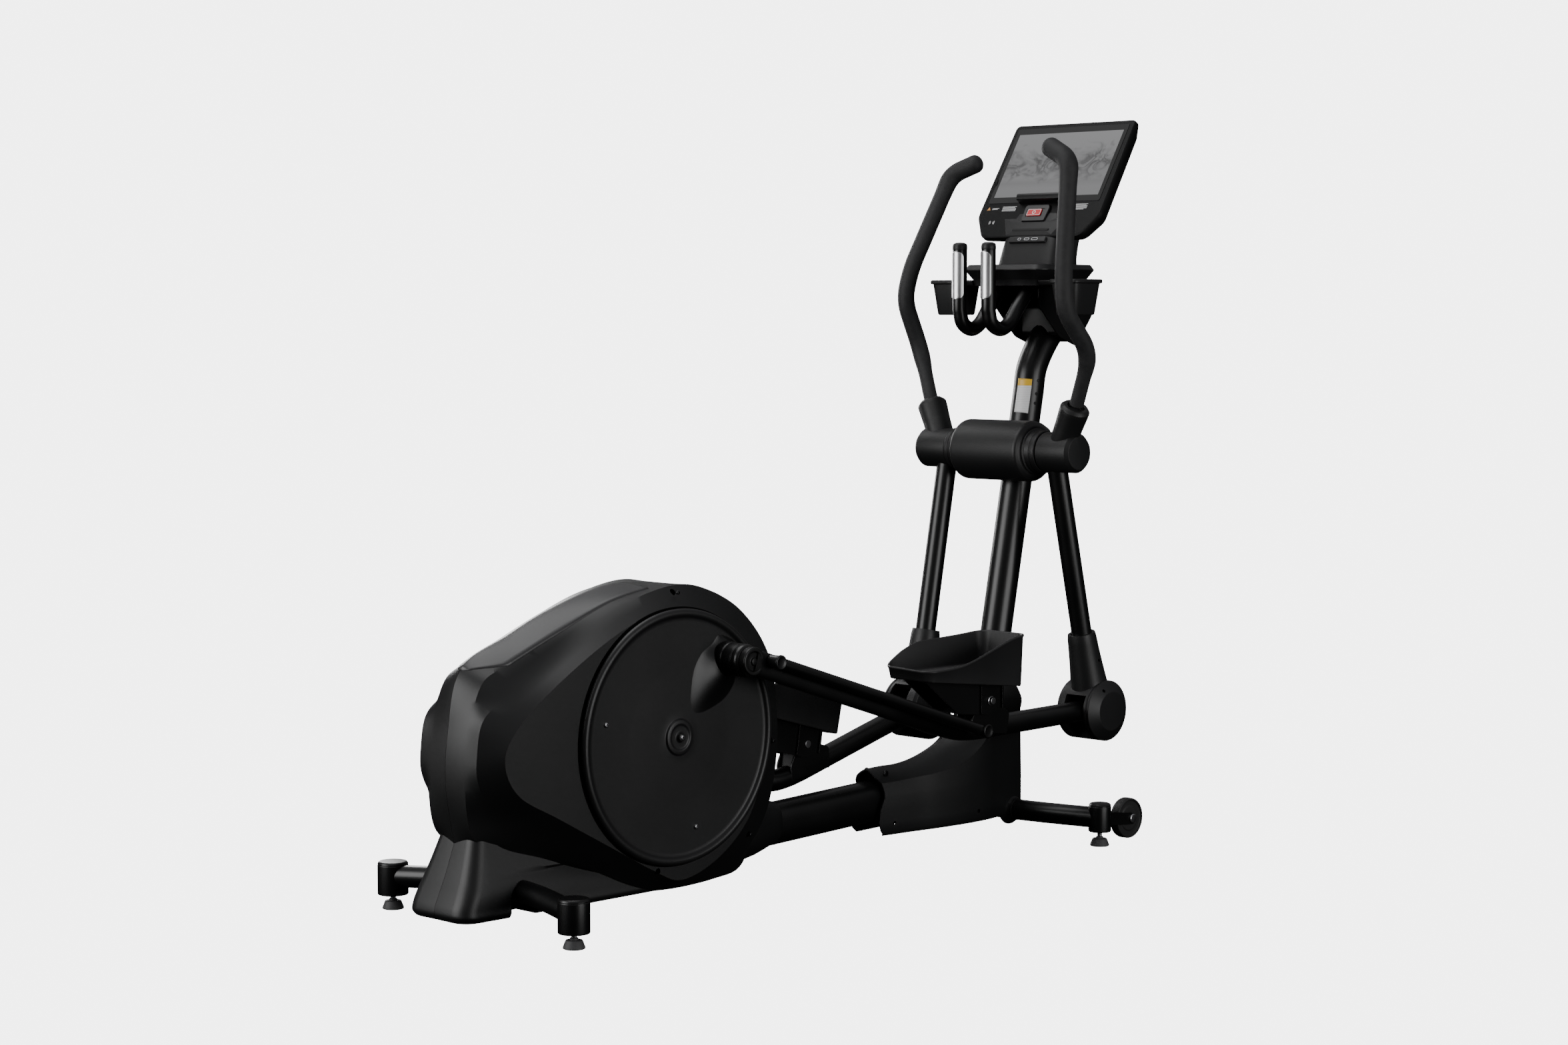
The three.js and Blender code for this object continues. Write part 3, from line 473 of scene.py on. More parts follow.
RECESSES = [(621, 703), (437, 588), (917, 342), (845, 134), (545, 90)]
RECESS_RADIUS = 7.0
recess_form = Form()
for x, z in RECESSES:
    recess_form += spun([(0, 96), (RECESS_RADIUS, 96), (RECESS_RADIUS, 170), (0, 170)], (x, 0, z),
                        (0, 1, 0), 24)
arch = polygon_slab([(156, -40), (232, -40), (232, 62)] + arc(194, 68, 38, 0, 180, 20) + [(156, 62)], -150,
                    150)
for sign, word in SIDES:
    half = build("shroud_" + word, hood_form.side(sign), hood_plastic, "frame",
                 ["shroud_" + word], wall=4, sharp=24)
    bake(half)
    cut_away(half, recess_form.side(sign))
    edge = half.modifiers.new("edge", "BEVEL")
    edge.width, edge.segments, edge.limit_method, edge.angle_limit = 0.0025, 3, "ANGLE", math.radians(26)
    edge.harden_normals = True
    skirt = build("skirt_" + word, skirt_form.side(sign), hood_plastic, "frame", sharp=50)
    cut_away(skirt, arch)
    skirt.data.set_sharp_from_angle(angle=math.radians(40))

# Crown band: a thin lighter panel clipped over the seam along the top of the hood.
hood_tree = BVHTree.FromPolygons([p for s in (1, -1) for p in hood_form.side(s).points],
                                 [tuple(i + (0 if s > 0 else len(hood_form.points)) for i in f)
                                  for s in (1, -1) for f in hood_form.side(s).faces])
crown_plastic = moulded_plastic("crown_plastic", (0.040, 0.0402, 0.0408), (0.050, 0.0502, 0.0510), 0.34)
crown_rings = []
for k in range(49):
    t = k / 48
    x = 102 + 476 * t
    half_width = 64 * min(1.0, (t / 0.16)) ** 0.55 + 10 * t if t else 4
    row = []
    for j in range(-12, 13):
        y = half_width * j / 12
        hit = hood_tree.ray_cast(Vector((x, y if abs(y) > 0.5 else 0.5, 900)), Vector((0, 0, -1)))[0]
        z = hit.z if hit else 560
        row.append(Vector((x, y, z + 2.2 - 1.6 * (abs(j) == 12))))
    crown_rings.append(row)
crown_form = loft(crown_rings, start=False, end=False, closed=False)
build("crown_band", crown_form, crown_plastic, "frame", ["crown_band"], wall=3.0,
      sharp=40)

# ---------------------------------------------------------------------------
# Screws: black socket buttons sunk in the mouldings and bright ones on the crank
# discs. Each is one turned head with a hexagon socket, set out on a list of places.
# ---------------------------------------------------------------------------


def paint(name, dark, light, roughness, metallic=0.0):
    """Baked powder coat or bare metal, with a faint orange-peel surface."""
    finish = Finish(name, Metallic=metallic)
    cloud = finish.noise(9.0, 2.0)
    peel_noise = finish.noise(420.0, 1.0)
    finish.shade(cloud, dark, light)
    finish.feed("Roughness", cloud * 0.06 + peel_noise * 0.03 + (roughness - 0.045))
    finish.bump(peel_noise, 0.05, 0.0002)
    return finish.material


bright_steel = paint("bright_steel", (0.42, 0.42, 0.43), (0.55, 0.55, 0.56), 0.28, 1.0)
black_steel = paint("black_steel", (0.010, 0.010, 0.011), (0.016, 0.016, 0.017), 0.30, 0.6)


def screw_head(radius, tall):
    """A domed head with a hexagon socket, as a small mesh."""
    hexagon = [radius * 0.42 / max(math.cos(math.radians((k * 10) % 60 - 30)), 0.1) for k in range(36)]
    rings = []
    for r, z in ((radius, -2), (radius, tall * 0.25), (radius * 0.93, tall * 0.6),
                 (radius * 0.72, tall * 0.93), (radius * 0.55, tall)):
        rings.append([(r * math.cos(math.radians(k * 10)), r * math.sin(math.radians(k * 10)), z)
                      for k in range(36)])
    for z in (tall, tall * 0.25):
        rings.append([(h * math.cos(math.radians(k * 10)), h * math.sin(math.radians(k * 10)), z)
                      for k, h in enumerate(hexagon)])
    form = loft(rings, start=False, end=True)
    mesh = bpy.data.meshes.new("screw")
    mesh.from_pydata([p / 1000 for p in form.points], [], form.faces)
    mesh.set_sharp_from_angle(angle=math.radians(35))
    return mesh


def scatter(name, mesh, spots, look, body, replaces=()):
    """Sets copies of a small mesh on places; a spot is (x, y, z), (facing), (stretch)."""
    tree = bpy.data.node_groups.new(name, "GeometryNodeTree")
    for label, kind, way in (("Places", "NodeSocketGeometry", "INPUT"), ("Head", "NodeSocketObject",
            "INPUT"), ("Look", "NodeSocketMaterial", "INPUT"), ("Size", "NodeSocketFloat", "INPUT"),
                             ("Made", "NodeSocketGeometry", "OUTPUT")):
        tree.interface.new_socket(label, in_out=way, socket_type=kind)
    start, end = tree.nodes.new("NodeGroupInput"), tree.nodes.new("NodeGroupOutput")
    info = tree.nodes.new("GeometryNodeObjectInfo")
    copies = tree.nodes.new("GeometryNodeInstanceOnPoints")
    real = tree.nodes.new("GeometryNodeRealizeInstances")
    coat = tree.nodes.new("GeometryNodeSetMaterial")
    align = tree.nodes.new("FunctionNodeAlignRotationToVector")
    facing, stretch = (tree.nodes.new("GeometryNodeInputNamedAttribute") for _ in range(2))
    for reader, attribute in ((facing, "facing"), (stretch, "stretch")):
        reader.data_type = "FLOAT_VECTOR"
        reader.inputs["Name"].default_value = attribute
    scale = tree.nodes.new("ShaderNodeVectorMath")
    scale.operation = "SCALE"
    for a, b in ((start.outputs["Head"], info.inputs["Object"]),
                 (start.outputs["Places"], copies.inputs["Points"]),
                 (info.outputs["Geometry"], copies.inputs["Instance"]),
                 (facing.outputs["Attribute"], align.inputs["Vector"]),
                 (align.outputs["Rotation"], copies.inputs["Rotation"]), (stretch.outputs["Attribute"],
            scale.inputs[0]), (start.outputs["Size"], scale.inputs["Scale"]),
                 (scale.outputs["Vector"], copies.inputs["Scale"]),
                 (copies.outputs["Instances"], real.inputs["Geometry"]),
                 (real.outputs["Geometry"], coat.inputs["Geometry"]),
                 (start.outputs["Look"], coat.inputs["Material"]),
                 (coat.outputs["Geometry"], end.inputs["Made"])):
        tree.links.new(a, b)
    places = bpy.data.meshes.new(name)
    places.from_pydata([at(*spot[0]) for spot in spots], [], [])
    for attribute, column, plain in (("facing", 1, (0, 0, 1)), ("stretch", 2, (1, 1, 1))):
        layer = places.attributes.new(attribute, "FLOAT_VECTOR", "POINT")
        for i, spot in enumerate(spots):
            layer.data[i].vector = spot[column] if len(spot) > column else plain
    head = bpy.data.objects.new(name + "_head", mesh)
    bpy.context.collection.objects.link(head)
    piece = bpy.data.objects.new(name, places)
    bpy.context.collection.objects.link(piece)
    modifier = piece.modifiers.new("set_out", "NODES")
    modifier.node_group = tree
    socket = {item.name: item.identifier for item in tree.interface.items_tree if item.in_out == "INPUT"}
    modifier[socket["Head"]], modifier[socket["Look"]], modifier[socket["Size"]] = head, look, 1.0
    bake(piece)
    bpy.data.objects.remove(head)
    return attach(piece, body, replaces)


button, small_button = screw_head(6.0, 3.2), screw_head(4.6, 2.4)
hood_spots = [((x, sign * (124 if z > 600 or z < 200 else 126), z), (0, sign, 0))
              for x, z in RECESSES for sign in (1, -1)]
scatter("hood_screws", small_button, hood_spots, black_steel, "frame")

# ---------------------------------------------------------------------------
# Crank discs and crank arms: a dished plastic disc with a rolled rim turns on each
# side, with a swollen spoke that rises to the boss of the crank pin.
# ---------------------------------------------------------------------------
CRANK = (601.4, 384.5)
THROW = 214.7
disc_plastic = moulded_plastic("disc_plastic", (0.0085, 0.0086, 0.0088), (0.0115, 0.0116, 0.012), 0.40)
gloss_black = paint("gloss_black", (0.0020, 0.0020, 0.0021), (0.0030, 0.0030, 0.0031), 0.32)

spoke_black = moulded_plastic("spoke_black", (0.0022, 0.0022, 0.0023), (0.0032, 0.0032, 0.0033), 0.36, 0.2)

disc_form = turned(soft([(0, 141), (282, 141), (286, 144), (285.4, 150), (281, 154.6), (274.5, 155.5),
                         (270, 153.6), (266, 148.4), (260, 147.2), (150, 146.2), (60, 146.6), (41, 147),
                         (39, 151), (30, 152.4), (26, 149.5), (12, 149.5), (10, 152), (9, 158), (0, 159)],
                        3.2), *CRANK, count=160)


def smoothstep(t, a, b):
    """Goes from 0 at a to 1 at b with soft ends."""
    t = min(max((t - a) / (b - a), 0), 1)
    return t * t * (3 - 2 * t)


swoop_rings = []
for k in range(57):
    u = 34 + 234 * k / 56
    rise = 25 * smoothstep(u, 40, 205) ** 1.3 * (1 - smoothstep(u, 236, 268))
    width = 18 + 46 * smoothstep(u, 34, 170) - 14 * smoothstep(u, 180, 225)
    width = width * (1 - 0.75 * smoothstep(u, 244, 268)) + 6
    top = [(u, 145.5 + rise * (0.5 + 0.5 * math.cos(math.pi * v / 12)) ** 0.85, width * v / 12)
           for v in range(-12, 13)]
    swoop_rings.append(top + [(u, 144, width), (u, 144, -width)])
swoop_form = loft(swoop_rings)
boss_form = turned(soft([(0, 150), (41, 150), (39, 172), (37.5, 176), (37.5, 203), (36, 204), (36, 206),
                         (37.5, 207), (37.5, 217), (35.5, 222.5), (31, 226), (0, 226)], 1.6), 0, 0, 72)
# A near-black matte ring under each disc's rim stands in for the dark gap between the disc and the hood:
# it is painted shade.
painted_gap_shade = moulded_plastic("painted_gap_shade", (0.0008, 0.0008, 0.0008), (0.0013, 0.0013, 0.0013), 0.85, 0.2,
                            ior=1.15)
gap_shade_ring = turned(soft([(276, 136), (289.5, 136), (289.5, 139.2), (276, 139.2), (276, 136)], 0.8), *CRANK,
                   count=160)
for sign, word, degrees in ((-1, "right", 50.1), (1, "left", 230.1)):
    build("disc_seal_" + word, gap_shade_ring.side(sign), painted_gap_shade, "frame", sharp=40)
    build("crank_disc_" + word, disc_form.side(sign), disc_plastic, "crank",
          ["crank_disc_" + word], sharp=40)
    turn = Matrix.Translation((CRANK[0], 0, CRANK[1])) @ Matrix.Rotation(-math.radians(degrees), 4, "Y")
    build("crank_spoke_" + word, swoop_form.moved(turn).side(sign), spoke_black, "crank",
          sharp=50)
    boss = boss_form.moved(turn @ Matrix.Translation((THROW, 0, 0)))
    build("crank_boss_" + word, boss.side(sign), gloss_black, "crank",
          ["crank_arm_" + word], sharp=40)
    spots = []
    for r, a, y in ((172, degrees + 5, 154), (222, degrees + 117.5, 148), (212, degrees - 126.4, 148),
                    (0, 0, 157)):
        x, z = polar(r, a, *CRANK)
        spots.append(((x, sign * y, z), (0, sign, 0)))
    scatter("disc_screws_" + word, button, spots, bright_steel, "crank")

# ---------------------------------------------------------------------------
# Frame tubes: bent and powder-coated steel. A low main beam joins two cross tubes,
# each with round end housings that are welded on and capped.
# ---------------------------------------------------------------------------


def section(a, b=None, power=2.0, count=40):
    """An ellipse, or a squarer outline where power is over 2."""
    b = a if b is None else b
    swell = lambda value: math.copysign(abs(value) ** (2 / power), value)
    return [(a * swell(math.cos(2 * math.pi * (i + 0.5) / count)),
             b * swell(math.sin(2 * math.pi * (i + 0.5) / count))) for i in range(count)]


def sweep(path, shape, side=(0, 1, 0), domes=(0, 0)):
    """Tube along a path; shape is a section or a function of (share of the way, index)."""
    path, side, last = [Vector(p) for p in path], Vector(side), len(path) - 1
    rings = []
    for i, point in enumerate(path):
        along = (path[min(i + 1, last)] - path[max(i - 1, 0)]).normalized()
        across = (side - along * side.dot(along)).normalized()
        up = along.cross(across)
        outline = shape(i / last, i) if callable(shape) else shape
        ring = [point + across * a + up * b for a, b in outline]
        if i in (0, last) and domes[i > 0]:
            way = along * (1 if i else -1) * domes[i > 0]
            cap = [[p + (point - p) * (1 - math.cos(t)) + way * math.sin(t) for p in ring]
                   for t in (math.radians(d) for d in (15, 30, 45, 60, 75, 86))]
            rings += [ring] + cap if i else cap[::-1] + [ring]
        else:
            rings.append(ring)
    return loft(rings)


def beam_z(x):
    """Height of the main beam's centre line."""
    return 130 + (x - 1200) * math.tan(math.radians(2.5))


main_form = sweep([(x, 0, beam_z(x)) for x in range(260, 1800, 70)], section(35, 50, 2.6, 56))
build("main_beam", main_form, gloss_black, "frame", ["main_beam"], sharp=40)
REAR_BENDS = [(153, -305, 74), (190, -140, 84), (197, 0, 88), (190, 140, 84), (153, 305, 74)]
FRONT_BENDS = [(1890, -296, 70), (1852, -120, 70), (1840, 0, 70), (1852, 120, 70), (1890, 296, 70)]
rear_path, front_path = smooth_path(REAR_BENDS, 14), smooth_path(FRONT_BENDS, 14)
build("rear_cross_tube", sweep(rear_path, section(25), (0, 0, 1)), gloss_black, "frame",
      ["rear_stabiliser"], sharp=40)
build("front_cross_tube", sweep(front_path, section(26), (0, 0, 1)), gloss_black, "frame",
      ["front_stabiliser"], sharp=40)


def end_housing(r, x, y, z0):
    """The capped round housing at the end of a cross tube."""
    return upright(soft([(0, z0), (r - 2, z0), (r, z0 + 2), (r, 99), (r - 1.2, 100), (r - 1.2, 101.2),
                         (r, 102), (r - 3, 106.5), (r - 5, 107.5), (0, 107.5)], 0.8), x, y, 64)


WHEEL = (1990, 300, 59.5)


def link_outline(x1, z1, r1, x2, z2, r2, steps=18):
    """The outline round two circles and their tangents."""
    heading = math.degrees(math.atan2(z2 - z1, x2 - x1))
    lean = math.degrees(math.acos((r1 - r2) / math.hypot(x2 - x1, z2 - z1)))
    first = arc(x1, z1, r1, heading + lean, heading - lean + 360, steps)
    return first + arc(x2, z2, r2, heading - lean, heading + lean, steps)


fork = link_outline(1893, 70, 17, WHEEL[0], WHEEL[2], 14)
rubber_grey = moulded_plastic("rubber_grey", (0.045, 0.045, 0.046), (0.062, 0.062, 0.064), 0.62, 0.35, 900)
tyre_rubber = moulded_plastic("tyre_rubber", (0.012, 0.012, 0.012), (0.018, 0.018, 0.018), 0.55, 0.3, 900)
thread = [(6.5 if k % 2 else 5.4, 24 + k * 0.9) for k in range(16)]
foot_pad = soft([(0, 0.5), (22.5, 0.5), (24, 2), (23.6, 5), (18.4, 18), (17, 19.4), (9.5, 19.6), (9, 20.2),
                 (9, 23.5), (6, 24.4)], 0.8)
for sign, word in SIDES:
    for place, r, x, y, z0 in (("rear", 34.5, 153, 305, 33), ("front", 28, 1890, 296, 36)):
        build(f"{place}_housing_{word}", end_housing(r, x, y, z0).side(sign), gloss_black, "frame",
              sharp=35)
        foot = f"foot_{place}_{word}"
        build(f"{foot}_pad", upright(foot_pad, x, y).side(sign), rubber_grey, foot, [foot],
              sharp=35)
        build(f"{foot}_stem", upright([(0, 18)] + thread + [(5, 60), (0, 60)], x, y, 32).side(sign),
              bright_steel, foot, sharp=60)
    tyre = turned(soft([(14, -11), (30, -11), (32, -9), (44, -9), (45, -13), (49, -13), (50.5, -9),
                        (50.5, 9), (49, 13), (45, 13), (44, 9), (32, 9), (30, 11), (14, 11), (14, -11)],
                       1.6), WHEEL[0], WHEEL[2], 96)
    tyre = tyre.moved(Matrix.Translation((0, WHEEL[1], 0))).side(sign)
    build("wheel_" + word, tyre, tyre_rubber, word + "_wheel",
          ["transport_wheel_" + word], sharp=40)
    plates = polygon_slab(fork, 280, 284) + polygon_slab(fork, 316, 320)
    build("wheel_fork_" + word, plates.side(sign), gloss_black, "frame", bevel=0.8)
    axle = turned(soft([(0, 277), (11, 277), (12, 278), (12, 279), (6, 280), (6, 320), (12, 321),
                        (12, 322.4), (10, 324), (0, 324.6)], 0.6), WHEEL[0], WHEEL[2], 40)
    build("wheel_bolt_" + word, axle.side(sign), bright_steel, "frame", sharp=40)
boot_rings = []
for x, half, top, low in ((856, 78, 232, 46), (900, 76, 226, 52), (940, 68, 208, 58), (975, 58, 194, 66),
                          (1004, 50, 184, 74), (1022, 46, 179, 79), (1030, 42, 176, 82),
                          (1030, 38, 173, 85)):
    boot_rings.append([Vector((x, a, (top + low) / 2 + b))
                       for a, b in section(half, (top - low) / 2, 2.7, 64)])
build("beam_boot", loft(boot_rings), hood_plastic, "frame", sharp=40)

# ---------------------------------------------------------------------------
# Mast: a round powder-coated tube that leans forward and bends over to the console,
# with index holes near the hub, drawn as near-black domes of painted shade, and a plain label stuck on its
# rear side.
# ---------------------------------------------------------------------------


def mast_x(z):
    """Where the mast's straight part stands at a height."""
    return 1844.5 + 0.2 * (z - 563.5)


MAST_BEND = [(mast_x(1120), 0, 1120), (mast_x(1180), 0, 1180), (2003.5, 0, 1239), (2042.5, 0, 1283),
             (2100, 0, 1350)]
mast_path = [(mast_x(z), 0, z) for z in range(216, 1120, 60)] + smooth_path(MAST_BEND, 9)
build("mast", sweep(mast_path, section(39, count=80)), gloss_black, "frame", ["mast"],
      sharp=40)
# Holes, slots and port openings are drawn as near-black matte insets: their darkness is painted shade for
# the inside of each opening.
painted_hole_shade = paint("painted_hole_shade", (0.001, 0.001, 0.001), (0.002, 0.002, 0.002), 0.7)
hole_shade_dome = screw_head(4.2, 0.9)
side = Vector((-0.30, -0.954, 0))
scatter("mast_holes", hole_shade_dome, [((mast_x(z) + side.x * 39, side.y * 39, z), tuple(side))
                             for z in (1150, 1117, 1093, 930)], painted_hole_shade, "frame")


def curved_label(radius, first, last, z0, z1):
    """Rows of points that follow the mast's own bend, each square to it."""
    rows = []
    for k in range(25):
        z = z0 + (z1 - z0) * k / 24
        below, above = next((Vector(a), Vector(b)) for a, b in zip(mast_path, mast_path[1:]) if b[2] >= z)
        centre = below.lerp(above, (z - below.z) / (above.z - below.z))
        across = Vector((above.z - below.z, 0, below.x - above.x)).normalized()
        rows.append([centre + (across * math.cos(a) + Vector((0, math.sin(a), 0))) * radius
                     for a in (math.radians(first + (last - first) * j / 24) for j in range(25))])
    return rows


label = Finish("printed_label", Roughness=0.35)
up = label.node("SeparateXYZ", None, {"Vector": label.place()}, 2)
band = label.node("Math", {"operation": "GREATER_THAN"}, {0: up, 1: 1.138})
row = label.node("Math", {"operation": "PINGPONG"}, {0: up, 1: 0.0022})
printed = label.node("Math", {"operation": "GREATER_THAN"}, {0: row, 1: 0.0015})
fibre = label.noise(260.0, 1.0)
white_paper, grey_print, yellow_band = (0.86, 0.86, 0.86, 1), (0.50, 0.50, 0.51, 1), (0.86, 0.52, 0.04, 1)
rows_of_print = {0: printed * fibre * 0.8, 6: white_paper, 7: grey_print}
paper_mix = label.node("Mix", {"data_type": "RGBA"}, rows_of_print, 2)
label.feed("Base Color", label.node("Mix", {"data_type": "RGBA"}, {0: band, 6: paper_mix, 7: yellow_band},
                                    2))
label_form = loft(curved_label(39.5, 174, 230, 1063, 1150), start=False, end=False, closed=False)
build("mast_label", label_form, label.material, "frame", wall=0.25)

# ---------------------------------------------------------------------------
# Front cover: one moulded shell over the foot of the mast, held by screws. It sweeps up
# along the tube, has a creased flank, and a collar each side round the cross tube.
# ---------------------------------------------------------------------------
COVER = [  # x, top, half width at the top, crease height, half width at the crease, half width below
    (1358, 218, 14, 186, 44, 50), (1395, 220, 15, 186, 47, 53), (1475, 221, 17, 190, 54, 60),
    (1550, 233, 19, 196, 64, 69), (1640, 264, 24, 214, 70, 75), (1700, 302, 30, 246, 71, 74),
    (1740, 346, 35, 284, 68, 70), (1768, 402, 40, 320, 62, 65), (1800, 424, 43, 340, 57, 60),
    (1846, 418, 44, 340, 52, 54), (1868, 396, 43, 330, 49, 51), (1878, 380, 42, 322, 46, 49)]


def lipped(x, z):
    """The rear edge bows in at the flank, leans back below it, and rounds under."""
    bend = max(0.0, 1 - (x - 1358) / 110)
    bow = 16 * math.sin(math.pi * (z - 120) / 80) if 120 < z < 200 else 0
    return x + bend * (bow - 10 * smoothstep(120 - z, 0, 60) + 22 * smoothstep(84 - z, 0, 28))


cover_rings = []
for x, top, w_top, crease, w_crease, w_low in smooth_path(COVER, 6):
    half = []
    for k in range(13):
        t = k / 12
        y = 2 * t * (1 - t) * w_top * 1.55 + t * t * w_crease
        shoulder_z = top - 1 - 0.12 * (top - crease)
        half.append((y, top * (1 - t) ** 2 + 2 * t * (1 - t) * shoulder_z + crease * t * t))
    half += [(w_crease + (w_low - w_crease) * k / 5, crease + (150 - crease) * k / 5) for k in range(1, 6)]
    half += [(w_low, 120), (w_low, 90), (w_low - 0.5, 68), (w_low - 3, 60), (w_low - 7, 57)]
    ring = [(-y, z) for y, z in half[::-1]] + half[1:]
    cover_rings.append([Vector((lipped(x, z), y, z)) for y, z in ring])
cover_form = loft(cover_rings, start=False, end=True, closed=False)
cover = build("front_cover", cover_form, hood_plastic, "frame", ["front_cover"], wall=4,
              sharp=28)
cover_holes = Form()
for x, z in ((1394, 206), (1403, 86), (1688, 85)):
    for sign in (1, -1):
        cover_holes += spun([(0, 38), (5, 38), (5, 120), (0, 120)], (x, 0, z), (0, sign, 0), 24)
bake(cover)
cut_away(cover, cover_holes)
cut_away(cover, sweep(front_path, section(27.5), (0, 0, 1)))
cover.data.set_sharp_from_angle(angle=math.radians(28))
scatter("cover_screws", screw_head(8.0, 2.0),
        [((x, sign * y, z), (0, sign, 0)) for x, z, y in ((1394, 206, 33), (1403, 86, 46), (1688, 85, 68))
         for sign in (1, -1)], black_steel, "frame")
for sign, word in SIDES:
    trumpet = []
    for k in range(13):
        y = 44 + 24 * k / 12
        x = 1840 + 12 * (y / 120) ** 2
        r = 28 + 15 * (1 - k / 12) ** 2.2
        trumpet.append([(x + r * math.cos(a), y, 70 + r * math.sin(a) * (0.9 if math.sin(a) < 0 else 1))
                        for a in (2 * math.pi * q / 48 for q in range(48))])
    trumpet.append([(1842.8 + 26.6 * math.cos(a), 68, 70 + 26.6 * math.sin(a))
                    for a in (2 * math.pi * q / 48 for q in range(48))])
    build("cross_tube_collar_" + word, loft(trumpet).side(sign), hood_plastic, "frame",
          sharp=50)

# ---------------------------------------------------------------------------
# Shoulder hub: a barrel moulding round the axle, a faceted shell in front of it round
# the mast, and a stepped collar at each end that the rocking arm turns against.
# ---------------------------------------------------------------------------
SHOULDER = (1851.5, 976.5)
hub_plastic = moulded_plastic("hub_plastic", (0.0065, 0.0066, 0.0068), (0.009, 0.0091, 0.0094), 0.46, 0.3)
barrel = turned(soft([(0, -115), (63, -115), (74, -108), (76, -102), (76, 102), (74, 108), (63, 115),
                      (0, 115)], 3), *SHOULDER, count=112)
build("hub_barrel", barrel, hub_plastic, "frame", ["hub_shell"], sharp=40)
NOSE = [(1852, 906), (1915, 913), (1947, 936), (1956, 985), (1936, 1029), (1899, 1048), (1852, 1049)]
nose_rings = []
for y, inset in ((-100, 14), (-98, 10), (-90, 1), (-86, 0), (86, 0), (90, 1), (98, 10), (100, 14)):
    nose_rings.append([(1880 + (x - 1880) * (1 - inset / 80), y, 978 + (z - 978) * (1 - inset / 80))
                       for x, z in soft(NOSE, 9, 4, True)])
build("hub_nose", loft(nose_rings), hub_plastic, "frame", sharp=30)
collar = turned(soft([(0, 112), (58, 112), (58, 118), (53, 120), (53, 133), (51.5, 134), (51.5, 136),
                      (53, 137), (53, 147.5), (51.5, 149.3), (0, 149.3)], 1.0), *SHOULDER, count=96)
for sign, word in SIDES:
    build("hub_collar_" + word, collar.side(sign), hub_plastic, "frame", sharp=35)

# ---------------------------------------------------------------------------
# Rocking arms: a moulded shoulder housing, a steel tube down to a moulded knuckle,
# and a handle tube in grip foam whose head turns inward. All hang from the axle.
# ---------------------------------------------------------------------------
ARM, COUPLER = 670.1, 1277.7
PEDAL_PIVOT = (-434.6, -14.5)


def linkage(degrees):
    """Knuckle, beam pitch, arm swing and pedal pivot, for a crank angle."""
    pin = polar(THROW, degrees, *CRANK)
    across, up = SHOULDER[0] - pin[0], SHOULDER[1] - pin[1]
    span = math.hypot(across, up)
    between = math.acos((COUPLER ** 2 + span ** 2 - ARM ** 2) / (2 * COUPLER * span))
    pitch = math.degrees(math.atan2(up, across) - between)
    knee = polar(COUPLER, pitch, *pin)
    swing = math.degrees(math.asin((knee[0] - SHOULDER[0]) / ARM))
    ahead, above = PEDAL_PIVOT
    pivot = polar(math.hypot(ahead, above), math.degrees(math.atan2(above, ahead)) + pitch, *knee)
    return knee, pitch, swing, pivot


# Side, knuckle, beam pitch, arm swing, pedal pivot and pedal tilt.
LINKS = {word: (sign, *linkage(degrees), tilt)
         for word, sign, degrees, tilt in (("right", -1, 50.1, 0), ("left", 1, 230.1, -9))}


def placed(degrees, x, z):
    """Turns a form made at the origin and moves it to its pivot."""
    return Matrix.Translation((x, 0, z)) @ Matrix.Rotation(-math.radians(degrees), 4, "Y")


housing = turned(soft([(0, 150.6), (47, 150.6), (50, 152.5), (50, 245.5), (41.5, 255.8), (0, 255.8)], 1.5),
                 0, 0, 96)
housing = Form([(p.x, p.y - (0.05 * abs(p.x) if p.y > 255 else 0), p.z) for p in housing.points],
               housing.faces)
throat = Vector((5, 60, 104))
length = throat.length
sleeve = spun(soft([(0, 0), (34, 0), (35, length * 0.5), (37.5, length * 0.86), (37.5, length - 8),
                    (30.5, length), (22.5, length), (21.4, length - 1), (21.4, length - 12),
                    (0, length - 12)], 1.6), (0, 200, 14), throat, 72)
tube_form = sweep([(0, 177 + 7 * t / 12, -30 - 578 * t / 12) for t in range(13)], section(25.5, count=56))
drum_form = turned(soft([(0, 124), (68, 124), (76.5, 131), (76.5, 222), (74.5, 223), (74.5, 224.4),
                         (76.5, 225.4), (76.5, 231), (49, 247), (0, 247)], 1.4), 0, -ARM, 112)
neck_path = [(0, 181 + 3 * t / 14, -469 - 171 * t / 14) for t in range(15)]


def neck_section(u, i):
    """Drawn in at the mouth, then wider towards the drum."""
    r = 35.5 + 14.5 * u ** 1.4 if i else 33.8
    return section(r, r, 2.15, 64)


neck_form = sweep(neck_path, neck_section)
bore_form = sweep([(0, 180.5, -430), (0, 181.2, -486)], section(27.4, count=56))


slot_top, slot_low = polar(29, 67), polar(29, 304)
slot_outline = [slot_top, polar(110, 157, *slot_top), polar(125, 185), polar(110, 214, *slot_low),
                slot_low]
slot_form = polygon_slab([(x, z - ARM) for x, z in slot_outline], 153, 215)
slot_round = turned([(0, 153), (52, 153), (52, 215), (0, 215)], 0, -ARM, 64)
pin_form = turned([(0, 150), (12, 150), (12, 216), (0, 216)], 0, -ARM, 40)
knuckle_screw = spun([(0, 225), (4.2, 225), (4.2, 260), (0, 260)], (-14, 0, -ARM + 57), (0, 1, 0), 24)
neck_screw = spun([(0, 205), (3.8, 205), (3.8, 260), (0, 260)], (6, 0, -540), (0, 1, 0), 24)

